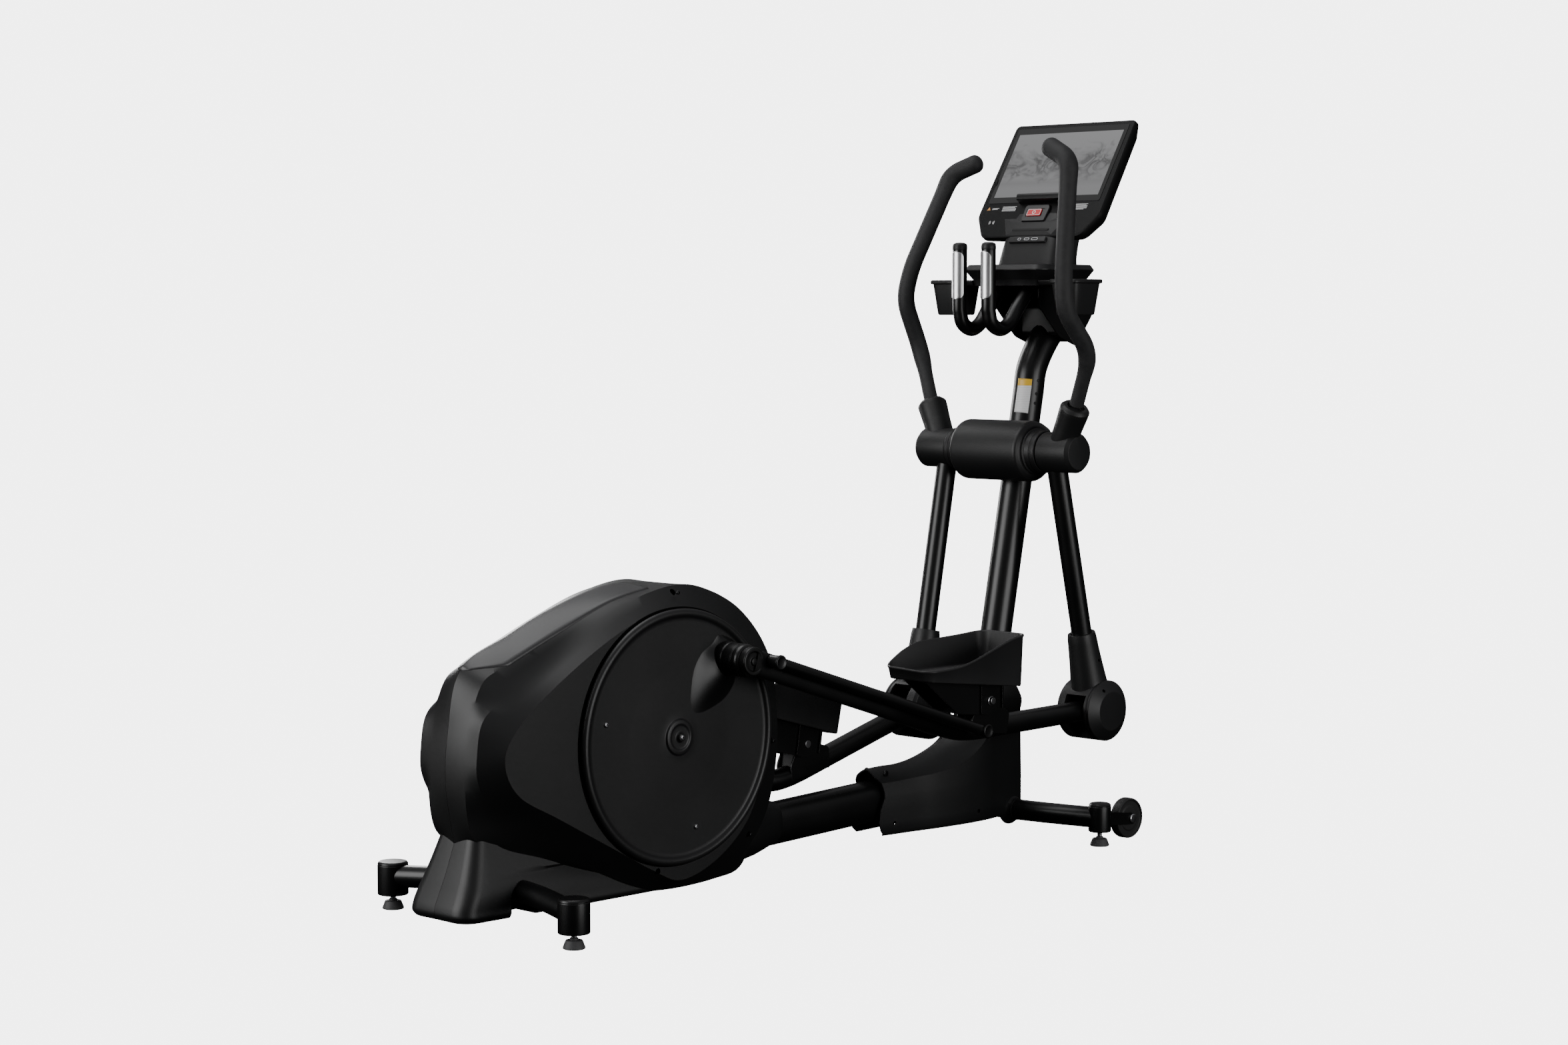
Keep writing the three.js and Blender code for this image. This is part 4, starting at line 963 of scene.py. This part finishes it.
grip_foam = Finish("grip_foam", IOR=1.4)
pores = grip_foam.node("TexVoronoi", {"feature": "F1"}, {"Vector": grip_foam.place(), "Scale": 950.0})
skin = grip_foam.noise(60.0, 3.0)
grip_foam.shade(skin, (0.020, 0.020, 0.0208), (0.028, 0.028, 0.0288))
grip_foam.feed("Roughness", skin * 0.1 + 0.58)
grip_foam.bump(pores + skin * 0.5, 0.35, 0.0003)
grip_line = soft([(5.4, 262, 122), (10, 322, 250), (-69, 329, 372), (-58, 329, 455), (38, 315, 722),
                  (54, 250, 752)], [0, 48, 46, 40, 30, 0], 12)
grip_line = [Vector(a).lerp(Vector(b), k / 6) for a, b in zip(grip_line, grip_line[1:])
             for k in range(6)] + [Vector(grip_line[-1])]
grip_line = [p for p, q in zip(grip_line, grip_line[1:]) if (p - q).length > 0.2] + grip_line[-1:]
grip_gone = [0.0]
for a, b in zip(grip_line, grip_line[1:]):
    grip_gone.append(grip_gone[-1] + (b - a).length)


def grip_shape(u, i):
    """The foam swells above the sleeve and again at the head."""
    gone = grip_gone[i]
    r = 18 + 3.8 * smoothstep(gone, 70, 130) + 2.4 * smoothstep(gone, 590, 640)
    return section(r, r, 2.0, 48)


handle_form = sweep(grip_line, grip_shape, (1, 0.2, 0), domes=(0, 20))
for word, (sign, knee, pitch, swing, pivot, tilt) in LINKS.items():
    turn, body = placed(swing, *SHOULDER), word + "_arm"
    build("arm_housing_" + word, housing.moved(turn).side(sign), hub_plastic, body,
          ["arm_hub_" + word], sharp=35)
    build("arm_sleeve_" + word, sleeve.moved(turn).side(sign), hub_plastic, body,
          sharp=35)
    build("swing_tube_" + word, tube_form.moved(turn).side(sign), gloss_black, body,
          ["swing_tube_" + word], sharp=40)
    knuckle = build("knuckle_" + word, drum_form.moved(turn).side(sign), hub_plastic, body,
                    ["knuckle_" + word])
    cut_away(knuckle, neck_form.moved(turn).side(sign), operation="UNION")
    for tool in (bore_form, slot_form, slot_round, knuckle_screw, neck_screw):
        cut_away(knuckle, tool.moved(turn).side(sign))
    knuckle.data.set_sharp_from_angle(angle=math.radians(30))
    build("knuckle_pin_" + word, pin_form.moved(turn).side(sign), black_steel, body,
          sharp=40)
    build("handle_" + word, handle_form.moved(turn).side(sign), grip_foam.material, body,
          ["handle_" + word], sharp=70)

# ---------------------------------------------------------------------------
# Pedal beams: bent steel tubes from the knuckle back to the crank, flattened at the
# rear, with a levelling rod outside and a folded steel bracket that holds the pedal.
# ---------------------------------------------------------------------------
VERTEX = (-506, -100)


def rear_at(t, lift=0.0):
    """A point along the beam's rear run, counted from the crank pin."""
    dx, dz = VERTEX[0] + COUPLER, VERTEX[1]
    d = math.hypot(dx, dz)
    return (-COUPLER + (t * dx - lift * dz) / d, (t * dz + lift * dx) / d)


def rear_station(t, y, a, b):
    """One station of the beam's rear run."""
    x, z = rear_at(t)
    return (x, y, z, a, b)


stations = [(-430 * k / 5, 184, -85 * k / 5, 26, 26) for k in range(6)]
stations += [(-470, 184, -91, 26, 26), (-510, 185, -94, 26, 26), (-550, 188, -91.5, 26, 26),
             rear_station(690, 193, 25.5, 26), rear_station(600, 214, 19, 28),
             rear_station(545, 228, 13.5, 29), rear_station(495, 237, 9.5, 30)]
stations += [rear_station(t, 237, 9.5, 29.5) for t in (420, 330, 240, 150, 70, 6)]
fine = smooth_path(stations, 5)


def beam_section(u, i):
    """A round tube in front that grows flat and squarer behind the pedal."""
    x, _, _, half_wide, half_tall = fine[i]
    return section(half_wide, half_tall, 2.2 + 0.6 * smoothstep(x, -600, -820), 56)


beam_form = sweep([s[:3] for s in fine], beam_section)
front_eye = turned(soft([(0, 157), (31, 157), (31, 211), (0, 211)], 2), 0, 0, 56)
rear_eye = turned(soft([(0, 227.5), (31, 227.5), (32.5, 229), (32.5, 244), (30.5, 246.3), (23, 246.3),
                        (21, 241.5), (8.5, 241.5), (8, 246), (0, 246.4)], 1.2), -COUPLER, 0, 72)
rod_rear, rod_front = rear_at(49, 12), rear_at(783, 12)
rod_path = [(rod_rear[0] + (rod_front[0] - rod_rear[0]) * k / 12, 262,
             rod_rear[1] + (rod_front[1] - rod_rear[1]) * k / 12) for k in range(13)]
rod_form = sweep(rod_path, section(13.5, count=40))
rod_end = soft([(0, 247.6), (15.5, 247.6), (15.5, 274), (17, 275), (17, 279), (14.5, 281), (8, 279.4),
                (0, 278.8)], 1.0)
px, pz = PEDAL_PIVOT
cheek = soft([(-350, -88), (-350, -36), (px + 20, -12), (px + 9, 5), (px - 9, 5), (px - 20, -12),
              (-484, -62), (-484, -100)], (4, 8, 20, 12, 12, 20, 6, 3), 5, True)
bracket = Form()
for y0, y1 in ((158, 163), (205, 210)):
    bracket += polygon_slab(cheek, y0, y1)
bracket += polygon_slab([(-355, -90), (-350, -90), (-350, -38), (-355, -40)], 160, 208)
bracket += polygon_slab([(-484, -100), (-478, -100), (-452, -20), (-457, -16)], 160, 208)
pivot_pin = turned(soft([(0, 144), (9, 144), (10, 145), (10, 149.6), (6, 150), (6, 218), (11.5, 218.4),
                         (11.5, 220.4), (9, 220.8), (9, 226.5), (8, 227.5), (0, 227.5)], 0.5), px, pz, 24)
for word, (sign, knee, pitch, swing, pivot, tilt) in LINKS.items():
    turn, body = placed(pitch, *knee), word + "_beam"
    build("beam_tube_" + word, beam_form.moved(turn).side(sign), gloss_black, body,
          ["pedal_beam_" + word], sharp=45)
    build("beam_eyes_" + word, (front_eye + rear_eye).moved(turn).side(sign), gloss_black, body,
          sharp=38)
    build("rod_" + word, rod_form.moved(turn).side(sign), gloss_black, body,
          ["control_rod_" + word], sharp=45)
    for name, place in (("rear", rod_rear), ("front", rod_front)):
        build(f"rod_cap_{name}_{word}", turned(rod_end, *place, 56).moved(turn).side(sign), gloss_black,
              body, sharp=38)
    build("bracket_" + word, bracket.moved(turn).side(sign), gloss_black, body,
          ["pedal_bracket_" + word], bevel=1.2, sharp=30)
    build("pivot_bolt_" + word, pivot_pin.moved(turn).side(sign), bright_steel, body,
          sharp=38)
    spot = turn @ Vector((-COUPLER, 241.5, 0))
    scatter("crank_bolt_" + word, button, [((spot.x, sign * 241.5, spot.z), (0, sign, 0))], bright_steel,
            body)

# ---------------------------------------------------------------------------
# Pedals: deep moulded trays, low at the heel outside and high at the toe, with a
# rolled lip, a hanger under the toe, and a ribbed rubber mat in the bottom.
# ---------------------------------------------------------------------------
PEDAL = dict(back=-269, front=90, inner=110, outer=262, floor=77)
OUTER_RIM = [(-269, 96), (-200, 97), (-150, 101), (-100, 113), (-50, 129), (0, 145), (40, 156), (90, 160)]
INNER_RIM = [(-269, 98), (-240, 108), (-210, 128), (-150, 148), (0, 154), (90, 160)]


def rim_height(table, x):
    """Height read from a table of (x, height)."""
    for (x0, z0), (x1, z1) in zip(table, table[1:]):
        if x <= x1:
            t = (x - x0) / (x1 - x0)
            return z0 + (z1 - z0) * max(t, 0)
    return table[-1][1]


def plan(inset, r=32, steps=10):
    """The pedal's rounded outline, drawn in by the inset."""
    x0, x1 = PEDAL["back"] + inset, PEDAL["front"] - inset
    y0, y1 = PEDAL["inner"] + inset, PEDAL["outer"] - inset
    r = max(r - inset, 3)
    sides = 18
    ring = []
    for cx, cy, a in ((x1 - r, y1 - r, 0), (x0 + r, y1 - r, 90), (x0 + r, y0 + r, 180),
                      (x1 - r, y0 + r, 270)):
        ring += arc(cx, cy, r, a, a + 90, steps)
    whole = []
    for a, b in zip(ring, ring[1:] + ring[:1]):
        whole.append(a)
        if math.dist(a, b) > 40:
            whole += [(a[0] + (b[0] - a[0]) * k / sides, a[1] + (b[1] - a[1]) * k / sides)
                      for k in range(1, sides)]
    return whole


def smooth_rim(x, y):
    """The lip's height, blended from the inner side to the outer one."""
    blur = [-16, -8, 0, 8, 16]
    table = [(rim_height(OUTER_RIM, x + d), rim_height(INNER_RIM, x + d)) for d in blur]
    outer, inner = sum(t[0] for t in table) / 5, sum(t[1] for t in table) / 5
    return inner + (outer - inner) * smoothstep(y, 130, 242)


def underside(x, y):
    """The tray's bottom rises towards the heel."""
    return 70 - 40 * (x - PEDAL["back"]) / 359


def pedal_ring(inset, height, rise=0.0):
    """One ring of the tray; its height is a number or a function of x and y."""
    return [(x, y, (height(x, y) if callable(height) else height) + rise) for x, y in plan(inset)]


tray_rings = [pedal_ring(14, 72)]
tray_rings += [pedal_ring(inset, underside, rise)
               for inset, rise in ((13, 3), (11.5, 0.6), (9, 0), (6.8, 0.8), (5.8, 4))]
tray_rings += [pedal_ring(inset, smooth_rim, -drop) for inset, drop in ((1.2, 7), (-0.8, 5), (-1.2, 2.4),
        (0.2, 0.4), (2.2, 0), (4.4, 1), (5.6, 4))]
tray_rings += [pedal_ring(10, 84), pedal_ring(11.4, 79), pedal_ring(15, PEDAL["floor"])]
tray_form = loft(tray_rings)
side_plate = soft([(-232, 64), (-119, -22), (-8, -34), (41, -20), (41, 38)], (3, 10, 8, 8, 3), 4, True)
hanger = polygon_slab(side_plate, 214, 218) + polygon_slab(side_plate, 146, 150)
hanger += polygon_slab([(-116, -22), (-112, -22), (-60, 50), (-66, 50)], 148, 216)
for y0, y1 in ((217, 224), (140, 147)):
    hanger += polygon_slab([(-40, -28), (-34, -30), (-34, 48), (-40, 48)], y0, y1)
    hanger += polygon_slab([(36, -20), (41, -19), (41, 38), (36, 39)], y0, y1)
mat_form = loft([[(x, y, 77.2) for x, y in plan(16)], [(x, y, 79.4) for x, y in plan(16)],
                 [(x, y, 80) for x, y in plan(16.8)]])
rib = bpy.data.meshes.new("rib")
RIB = [(-3.6, 0), (-2.4, 1.6), (-1.2, 2.1), (1.2, 2.1), (2.4, 1.6), (3.6, 0)]
rib_form = loft([[(a * 0.5, y * 0.5, b) for a, b in RIB] for y in (-1, 1)])
rib.from_pydata([p / 1000 for p in rib_form.points], [], rib_form.faces)
mat_rubber = moulded_plastic("mat_rubber", (0.022, 0.022, 0.0224), (0.030, 0.030, 0.0305), 0.55, 0.3, 900)
pedal_plastic = moulded_plastic("pedal_plastic", (0.0140, 0.0141, 0.0144), (0.0190, 0.0191, 0.0195), 0.48,
                                0.35)
for word, (sign, knee, pitch, swing, pivot, tilt) in LINKS.items():
    turn, body = placed(tilt, *pivot), word + "_pedal"
    build("pedal_" + word, tray_form.moved(turn).side(sign), pedal_plastic, body,
          ["pedal_" + word], sharp=50)
    build("pedal_hanger_" + word, hanger.moved(turn).side(sign), gloss_black, body,
          bevel=1.0, sharp=30)
    build("pedal_mat_" + word, mat_form.moved(turn).side(sign), mat_rubber, body,
          ["pedal_mat_" + word], sharp=40)
    up_way = turn.to_3x3() @ Vector((0, 0, 1))
    spots = []
    for k in range(53):
        x = -248 + 6.1 * k
        edge_gap = min(x - PEDAL["back"], PEDAL["front"] - x)
        spare = 20 + (0 if edge_gap > 36 else 14 * (1 - math.sqrt(max(0, 1 - ((36 - edge_gap) / 20) ** 2)))
                      if edge_gap > 16 else 14)
        p = turn @ Vector((x, 186, 79.8))
        spots.append(((p.x, sign * p.y, p.z), (up_way.x, 0, up_way.z), (1, (152 - 2 * spare), 1)))
    scatter("pedal_ribs_" + word, rib, spots, mat_rubber, body)

# ---------------------------------------------------------------------------
# Fixed grips: two bent gloss-black tubes with domed caps in front of the mast, each
# with a bright contact plate snapped round the rear of its upright.
# ---------------------------------------------------------------------------
GRIP_X, GRIP_Y = 1746, 47.5
GRIP_BEND = [(1746, 1330), (1757, 1297), (1790, 1281), (1822, 1294), (1858, 1336), (1904, 1384)]
fixed_line = [(GRIP_X, GRIP_Y, z) for z in range(1490, 1330, -20)]
fixed_line += smooth_path([(x, GRIP_Y, z) for x, z in GRIP_BEND], 9)
fixed_form = sweep(fixed_line, section(18, count=48), domes=(5, 0))
cap_ring = upright(soft([(0, 1478), (18.6, 1478), (18.6, 1487), (17.4, 1493), (10, 1496.5), (0, 1497)], 2),
                   GRIP_X, GRIP_Y, 48)
plate_rows = []
for k in range(33):
    z = 1356 + 118 * k / 32
    from_end = min(z - 1356, 1474 - z)
    spread = 66 * (math.sqrt(max(0.0, 1 - (1 - min(from_end, 16) / 16) ** 2)) * 0.85 + 0.15)
    plate_rows.append([(GRIP_X + 18.7 * math.cos(a), GRIP_Y + 18.7 * math.sin(a), z)
                       for a in (math.radians(186 + spread * j / 10) for j in range(-10, 11))])
contact_form = loft(plate_rows, start=False, end=False, closed=False)
contact_steel = Finish("contact_steel", Metallic=1.0)
brush_way = {"Vector": contact_steel.place(), "Scale": (900.0, 900.0, 12.0)}
brushed = contact_steel.node("TexNoise", None, {"Vector": contact_steel.node("Mapping", None, brush_way),
                                                "Scale": 1.0, "Detail": 2.0})
contact_steel.shade(brushed, (0.80, 0.80, 0.81), (0.92, 0.92, 0.93))
contact_steel.feed("Roughness", brushed * 0.12 + 0.3)
for sign, word in SIDES:
    build("fixed_grip_" + word, fixed_form.side(sign), gloss_black, "frame",
          ["fixed_grip_" + word], sharp=60)
    build("grip_cap_" + word, cap_ring.side(sign), hub_plastic, "frame", sharp=40)
    build("contact_plate_" + word, contact_form.side(sign), contact_steel.material, "frame",
          ["contact_plate_" + word], wall=-1.2, bevel=0.3)

# ---------------------------------------------------------------------------
# Tray and bins: a chamfered moulded tray on a folded bracket at the mast head, with a
# tapered bin on each side that hangs from the tray's wing by its rolled rim.
# ---------------------------------------------------------------------------
tray_plastic = moulded_plastic("tray_plastic", (0.005, 0.0051, 0.0053), (0.008, 0.0081, 0.0084), 0.46, 0.3)
TRAY = [(1842, 118), (1864, 136), (2000, 136), (2094, 104)]
TRAY_MIDDLE = 1968
tray_outline = TRAY + [(x, -y) for x, y in TRAY[::-1]]
tray_rings = []
for inset, z in ((24, 1389), (21, 1390), (18, 1404), (17, 1406), (3, 1426), (1, 1429), (1, 1431),
                 (8, 1442), (10, 1443), (20, 1443), (23, 1441), (30, 1436)):
    tray_rings.append([(TRAY_MIDDLE + (x - TRAY_MIDDLE) * (1 - inset / 125), y * (1 - inset / 148), z)
                       for x, y in soft(tray_outline, 12, 5, True)])
build("tray", loft(tray_rings), tray_plastic, "frame", ["tray"], sharp=28)
SIDE_PLATE = [(1903, 1345), (1988, 1261), (2056, 1237), (2118, 1316), (2118, 1390), (1908, 1390)]
WEB = [(1996, 1270), (2049, 1246), (2110, 1322), (2110, 1388), (2040, 1388), (1996, 1334)]
saddle = polygon_slab(soft(SIDE_PLATE, 10, 4, True), -75, -70)
saddle = saddle + saddle.side(-1) + polygon_slab(soft(WEB, 6, 3, True), -56, 56)
build("console_bracket", saddle, gloss_black, "frame", ["console_bracket"], bevel=1.0)
scatter("bracket_screws", button,
        [((x, sign * 75, z), (0, sign, 0)) for x, z in ((2020, 1290), (2098, 1352)) for sign in (1, -1)],
        black_steel, "frame")


def bin_ring(half_x, half_y, z):
    """One ring of a bin's rounded outline."""
    return [(1902 + a, 198 + b, z) for a, b in section(half_x, half_y, 6.5, 72)]


bin_plastic = moulded_plastic("bin_plastic", (0.0095, 0.0096, 0.0099), (0.0135, 0.0136, 0.0140), 0.46, 0.3)
BIN_WALL = [  # growth and height, from the bottom up the outside, over the rim and down the inside
    (-17, 1316), (-13.5, 1317), (-12, 1320), (-2.5, 1394), (1.6, 1395), (3, 1397), (3, 1402),
            (1.8, 1404.2),
    (0, 1405), (-2.2, 1404.2), (-3.4, 1401), (-5.4, 1390), (-14.6, 1323), (-17.5, 1320.5)]
bin_rings = [bin_ring(55 + growth, 44 + growth, z) for growth, z in BIN_WALL]
bin_form = loft(bin_rings)
hanger_form = polygon_slab(soft([(1866, 1390), (1956, 1390), (1962, 1403), (1860, 1403)], 4, 3, True), 110,
                           156)
for sign, word in SIDES:
    build("bin_" + word, bin_form.side(sign), bin_plastic, "frame", ["bin_" + word],
          sharp=35)
    build("bin_hanger_" + word, hanger_form.side(sign), tray_plastic, "frame", bevel=1.2)

# ---------------------------------------------------------------------------
# Console: a slab moulding with bevelled edges that holds a wide display behind glass,
# a reading ledge, a red stop key in its own block, and a port module underneath.
# ---------------------------------------------------------------------------
FACE = Matrix(((0, 0.527, 0.85, 2018), (-1, 0, 0, 0), (0, 0.85, -0.527, 1615.5), (0, 0, 0, 1)))
SHELL_CORNERS = (14, 12, 18, 18, 12, 14)


def shell_ring(inset, z):
    """The console's outline, drawn in at the sides and the top and less at its elbows."""
    half = [(198 - inset, 228 - inset), (203 - inset, -56 + inset * 0.3), (163 - inset, -120 + inset)]
    return [(x, y, z) for x, y in soft(half + [(-x, y) for x, y in half[::-1]], SHELL_CORNERS, 7, True)]


shell_rings = [shell_ring(i, z) for i, z in ((7, -0.6), (3, -0.2), (1, 1.4), (0, 4), (0, 15), (1.2, 18),
                                             (18, 46), (21, 49), (25, 50))]
console_plastic = moulded_plastic("console_plastic", (0.0065, 0.0066, 0.0068), (0.0095, 0.0096, 0.0099),
                                  0.50, 0.3)
bezel_plastic = moulded_plastic("bezel_plastic", (0.0030, 0.0031, 0.0032), (0.0046, 0.0047, 0.0049), 0.52,
                                0.3, ior=1.27)
build("console_shell", loft(shell_rings).moved(FACE), bezel_plastic, "frame",
      ["console_shell"], sharp=30)


def face_slab(outline, z0, z1, edge=0.0):
    """Slab on the console's face between two depths, the outer one with a small bevelled edge."""
    middle = Vector((sum(p[0] for p in outline) / len(outline), sum(p[1] for p in outline) / len(outline)))
    shrink = lambda p, d: Vector(p) + (middle - Vector(p)).normalized() * d
    rings = [[(x, y, z1) for x, y in outline], [(x, y, z0 + edge) for x, y in outline]]
    if edge:
        rings.append([(*shrink(p, edge), z0) for p in outline])
    return loft(rings).moved(FACE)


def rounded_box(x0, x1, y0, y1, r, steps=6):
    """A rectangle with round corners."""
    return soft([(x1, y1), (x0, y1), (x0, y0), (x1, y0)], r, steps, True)


glass = Finish("smoked_glass", IOR=1.2)
haze = glass.noise(14.0, 2.0)
glass.shade(haze, (0.0022, 0.0022, 0.0023), (0.0030, 0.0030, 0.0032))
glass.feed("Roughness", haze * 0.05 + 0.05)
build("glass_border", face_slab(rounded_box(-184, 184, -16, 214.5, 6), -1.6, 3, 0.6), glass.material,
      "frame", ["display_glass"], sharp=30)

picture = Finish("lit_picture", Roughness=0.2, IOR=1.25)
spot = picture.place()
across = picture.node("SeparateXYZ", None, {"Vector": spot}, 1) * -1000
height_up = (picture.node("SeparateXYZ", None, {"Vector": spot}, 2) * 1000 - 1615.5) / 0.85
flat_spot = picture.node("CombineXYZ", None, {"X": across * 0.013, "Y": height_up * 0.016,
                                              "Z": across * 0.003})
drift = picture.node("TexNoise", None, {"Vector": flat_spot, "Scale": 1.1, "Detail": 2.0,
                                        "Distortion": 1.2})
wisps = picture.node("TexNoise", None, {"Vector": flat_spot, "Scale": 1.3, "Detail": 2.0,
                                        "Distortion": 1.7})
thread_mask = 1 - picture.node("Math", {"operation": "ABSOLUTE"}, {0: (wisps - 0.5) * 7.5})
thread_mask = picture.node("Clamp", None, {"Value": thread_mask})
centre = 104 + (drift - 0.5) * 120
away = picture.node("Math", {"operation": "ABSOLUTE"}, {0: (height_up - centre) / 46})
band_mask = picture.node("Clamp", None, {"Value": 1.15 - away})
smoke = picture.node("Clamp", None, {"Value": band_mask * (thread_mask * 0.8 + drift * 0.5)})
horizon = picture.node("Clamp", None,
                       {"Value": 1 - picture.node("Math", {"operation": "ABSOLUTE"},
                                                  {0: (height_up - 46) / 16})})
glow = 0.17 - smoke * 0.13 - horizon * 0.025 + height_up * 0.0002
picture.feed("Emission Color",
             picture.node("CombineColor", None, {"Red": glow, "Green": glow, "Blue": glow * 1.02}))
picture.shader.inputs["Emission Strength"].default_value = 1.0
picture.feed("Base Color",
             picture.node("CombineColor", None,
                          {"Red": glow * 0.05, "Green": glow * 0.05, "Blue": glow * 0.05}))
build("display_picture", face_slab(rounded_box(-172, 172, 2, 196.5, 1, 2), -1.9, -1.0), picture.material,
      "frame", sharp=30)

LEDGE = [(-6, 0), (-6, -18), (-3, -25), (-8, -26), (-19, -22), (-21, 0)]
ledge = loft([[(x, y, z) for y, z in soft(LEDGE, 2, 3, True)] for x in (-73, -72, 72, 73)]).moved(FACE)
build("reading_ledge", ledge, gloss_black, "frame", ["reading_ledge"], bevel=0.8)
panel_edge = [(-112, -62), (104, -62), (74, -116), (-84, -116)]
panel_top = [(x * 0.62 - 1.5, (y + 90) * 0.45 - 90, -4.2) for x, y in panel_edge]
facet = loft([[(x, y, 0) for x, y in panel_edge], panel_top]).moved(FACE)
build("lower_panel", facet, console_plastic, "frame", bevel=0.8, sharp=10)
# The slot is a shallow near-black inset: painted shade for its inside.
build("panel_slot", face_slab(rounded_box(-62, 58, -103, -97.5, 2.5, 4), -4.8, -3, 0.3), painted_hole_shade,
      "frame", sharp=40)
key_frame = soft([(-40, -27), (32, -27), (37, -34), (34, -77), (-42, -77), (-45, -34)], 4, 4, True)
block = loft([[(x, y, 0) for x, y in key_frame], [(x, y, -5.5) for x, y in key_frame],
              [(x * 0.96 - 0.2, (y + 52) * 0.93 - 52, -8) for x, y in key_frame],
              [(x * 0.74 - 1.4, (y + 51) * 0.5 - 51, -8) for x, y in key_frame],
              [(x * 0.73 - 1.5, (y + 51) * 0.48 - 51, -6.5) for x, y in key_frame]]).moved(FACE)
build("key_block", block, gloss_black, "frame", ["key_block"], sharp=30)
red_plastic = moulded_plastic("red_plastic", (0.60, 0.012, 0.018), (0.70, 0.018, 0.026), 0.30, 0.12)
white_ink = moulded_plastic("white_ink", (0.68, 0.68, 0.68), (0.76, 0.76, 0.76), 0.45, 0.1)
build("stop_key", face_slab(rounded_box(-31, 15, -61, -41, 3), -9.4, -5, 0.8), red_plastic, "stop_key",
      ["stop_key"], sharp=30)


def outline_band(outer, inner, z0, z1):
    """A flat band between two outlines on the face."""
    return loft([[(x, y, z1) for x, y in outer], [(x, y, z0) for x, y in outer],
                 [(x, y, z0) for x, y in inner], [(x, y, z1) for x, y in inner],
                 [(x, y, z1) for x, y in outer]], False, False).moved(FACE)


build("key_border", outline_band(rounded_box(-30.2, 14.2, -60.2, -41.8, 3),
                                 rounded_box(-28.6, 12.6, -58.6, -43.4, 2), -9.65, -9.2), white_ink,
      "stop_key", sharp=30)
outer_ring, inner_ring = ([polar(r, 9 * k, -8, -51) for k in range(40)] for r in (5.6, 3.4))
build("key_ring", outline_band(outer_ring, inner_ring, -9.7, -9.2), white_ink, "stop_key",
      sharp=30)
strips = Form()
for x0, x1, top, count in ((-163, -140, -30, 2), (-128, -82, -26, 5), (70, 92, -26, 5),
                           (104, 152, -24, 6)):
    for k in range(count):
        y = top - 3.1 * k
        short = 9 * ((k * 7) % 3) / 2 if k % 2 else 0
        strips += face_slab([(x1 - short, y), (x0, y), (x0, y - 1.3), (x1 - short, y - 1.3)], -0.9, -0.2)
for radius in (5.5, 9.0):
    for flip in (1, -1):
        outer = [polar(radius, a, -146, -74) for a in range(-40, 41, 8)]
        inner = [polar(radius - 1.6, a, -146, -74) for a in range(40, -41, -8)]
        strips += face_slab([(-146 + flip * (x + 146), y) for x, y in outer + inner], -0.9, -0.2)
build("printed_strips", strips, white_ink, "frame", sharp=30)
amber_ink = moulded_plastic("amber_ink", (0.62, 0.26, 0.06), (0.70, 0.32, 0.08), 0.45, 0.1)
build("caution_mark", face_slab([(-168, -36), (-174, -26), (-180, -36)], -0.9, -0.2), amber_ink, "frame",
      sharp=30)
module = loft([[(x, y, z) for x, y in rounded_box(-60 + i, 60 - i, -137 + i, -121 - i, 4 - i * 0.5)]
               for i, z in ((2, -4.6), (0.4, -4), (0, -2), (0, 28), (2, 30))]).moved(FACE)
build("port_module", module, console_plastic, "frame", ["port_module"], sharp=35)
ports = Form()
rims = Form()
for x, w in ((-24, 4), (0, 7), (26, 9)):
    ports += face_slab(rounded_box(x - w, x + w, -131.6, -126.6, 2.4, 4), -5.2, 3)
    rims += outline_band(rounded_box(x - w - 1, x + w + 1, -132.6, -125.6, 3, 4),
                         rounded_box(x - w, x + w, -131.6, -126.6, 2.4, 4), -5.3, 3)
# Each port opening is a near-black block: painted shade for its inside.
build("port_openings", ports, painted_hole_shade, "frame", sharp=30)
build("port_rims", rims, bright_steel, "frame", sharp=30)

# ---------------------------------------------------------------------------
# Console neck: a tapered moulded column from the tray up to the back of the console.
# ---------------------------------------------------------------------------
neck_rings = []
for x, z, half_x, half_y, lean in smooth_path([(1988, 1438, 57, 97, 0), (1993, 1462, 54, 94, -0.1),
                                               (2006, 1500, 50, 90, -0.3), (2020, 1528, 46, 86, -0.5),
                                               (2032, 1548, 42, 84, -0.62)], 5):
    neck_rings.append([(x + a, b, z + lean * a) for a, b in section(half_x, half_y, 6, 72)])
build("console_neck", loft(neck_rings), console_plastic, "frame", ["console_neck"],
      sharp=40)

# ---------------------------------------------------------------------------
# Drive inside the hood: the CAD parts stay as they are. A welded carrier holds the
# crank axle and its pulley, the flywheel and the belt, and the hub holds its axle.
# ---------------------------------------------------------------------------
for node, look in (("crank_carrier", gloss_black), ("crank_axle", black_steel), ("flywheel", black_steel),
                   ("drive_belt", tyre_rubber), ("shoulder_axle", bright_steel)):
    keeper = bpy.data.objects[node]
    for spot in keeper.material_slots:
        spot.material = look
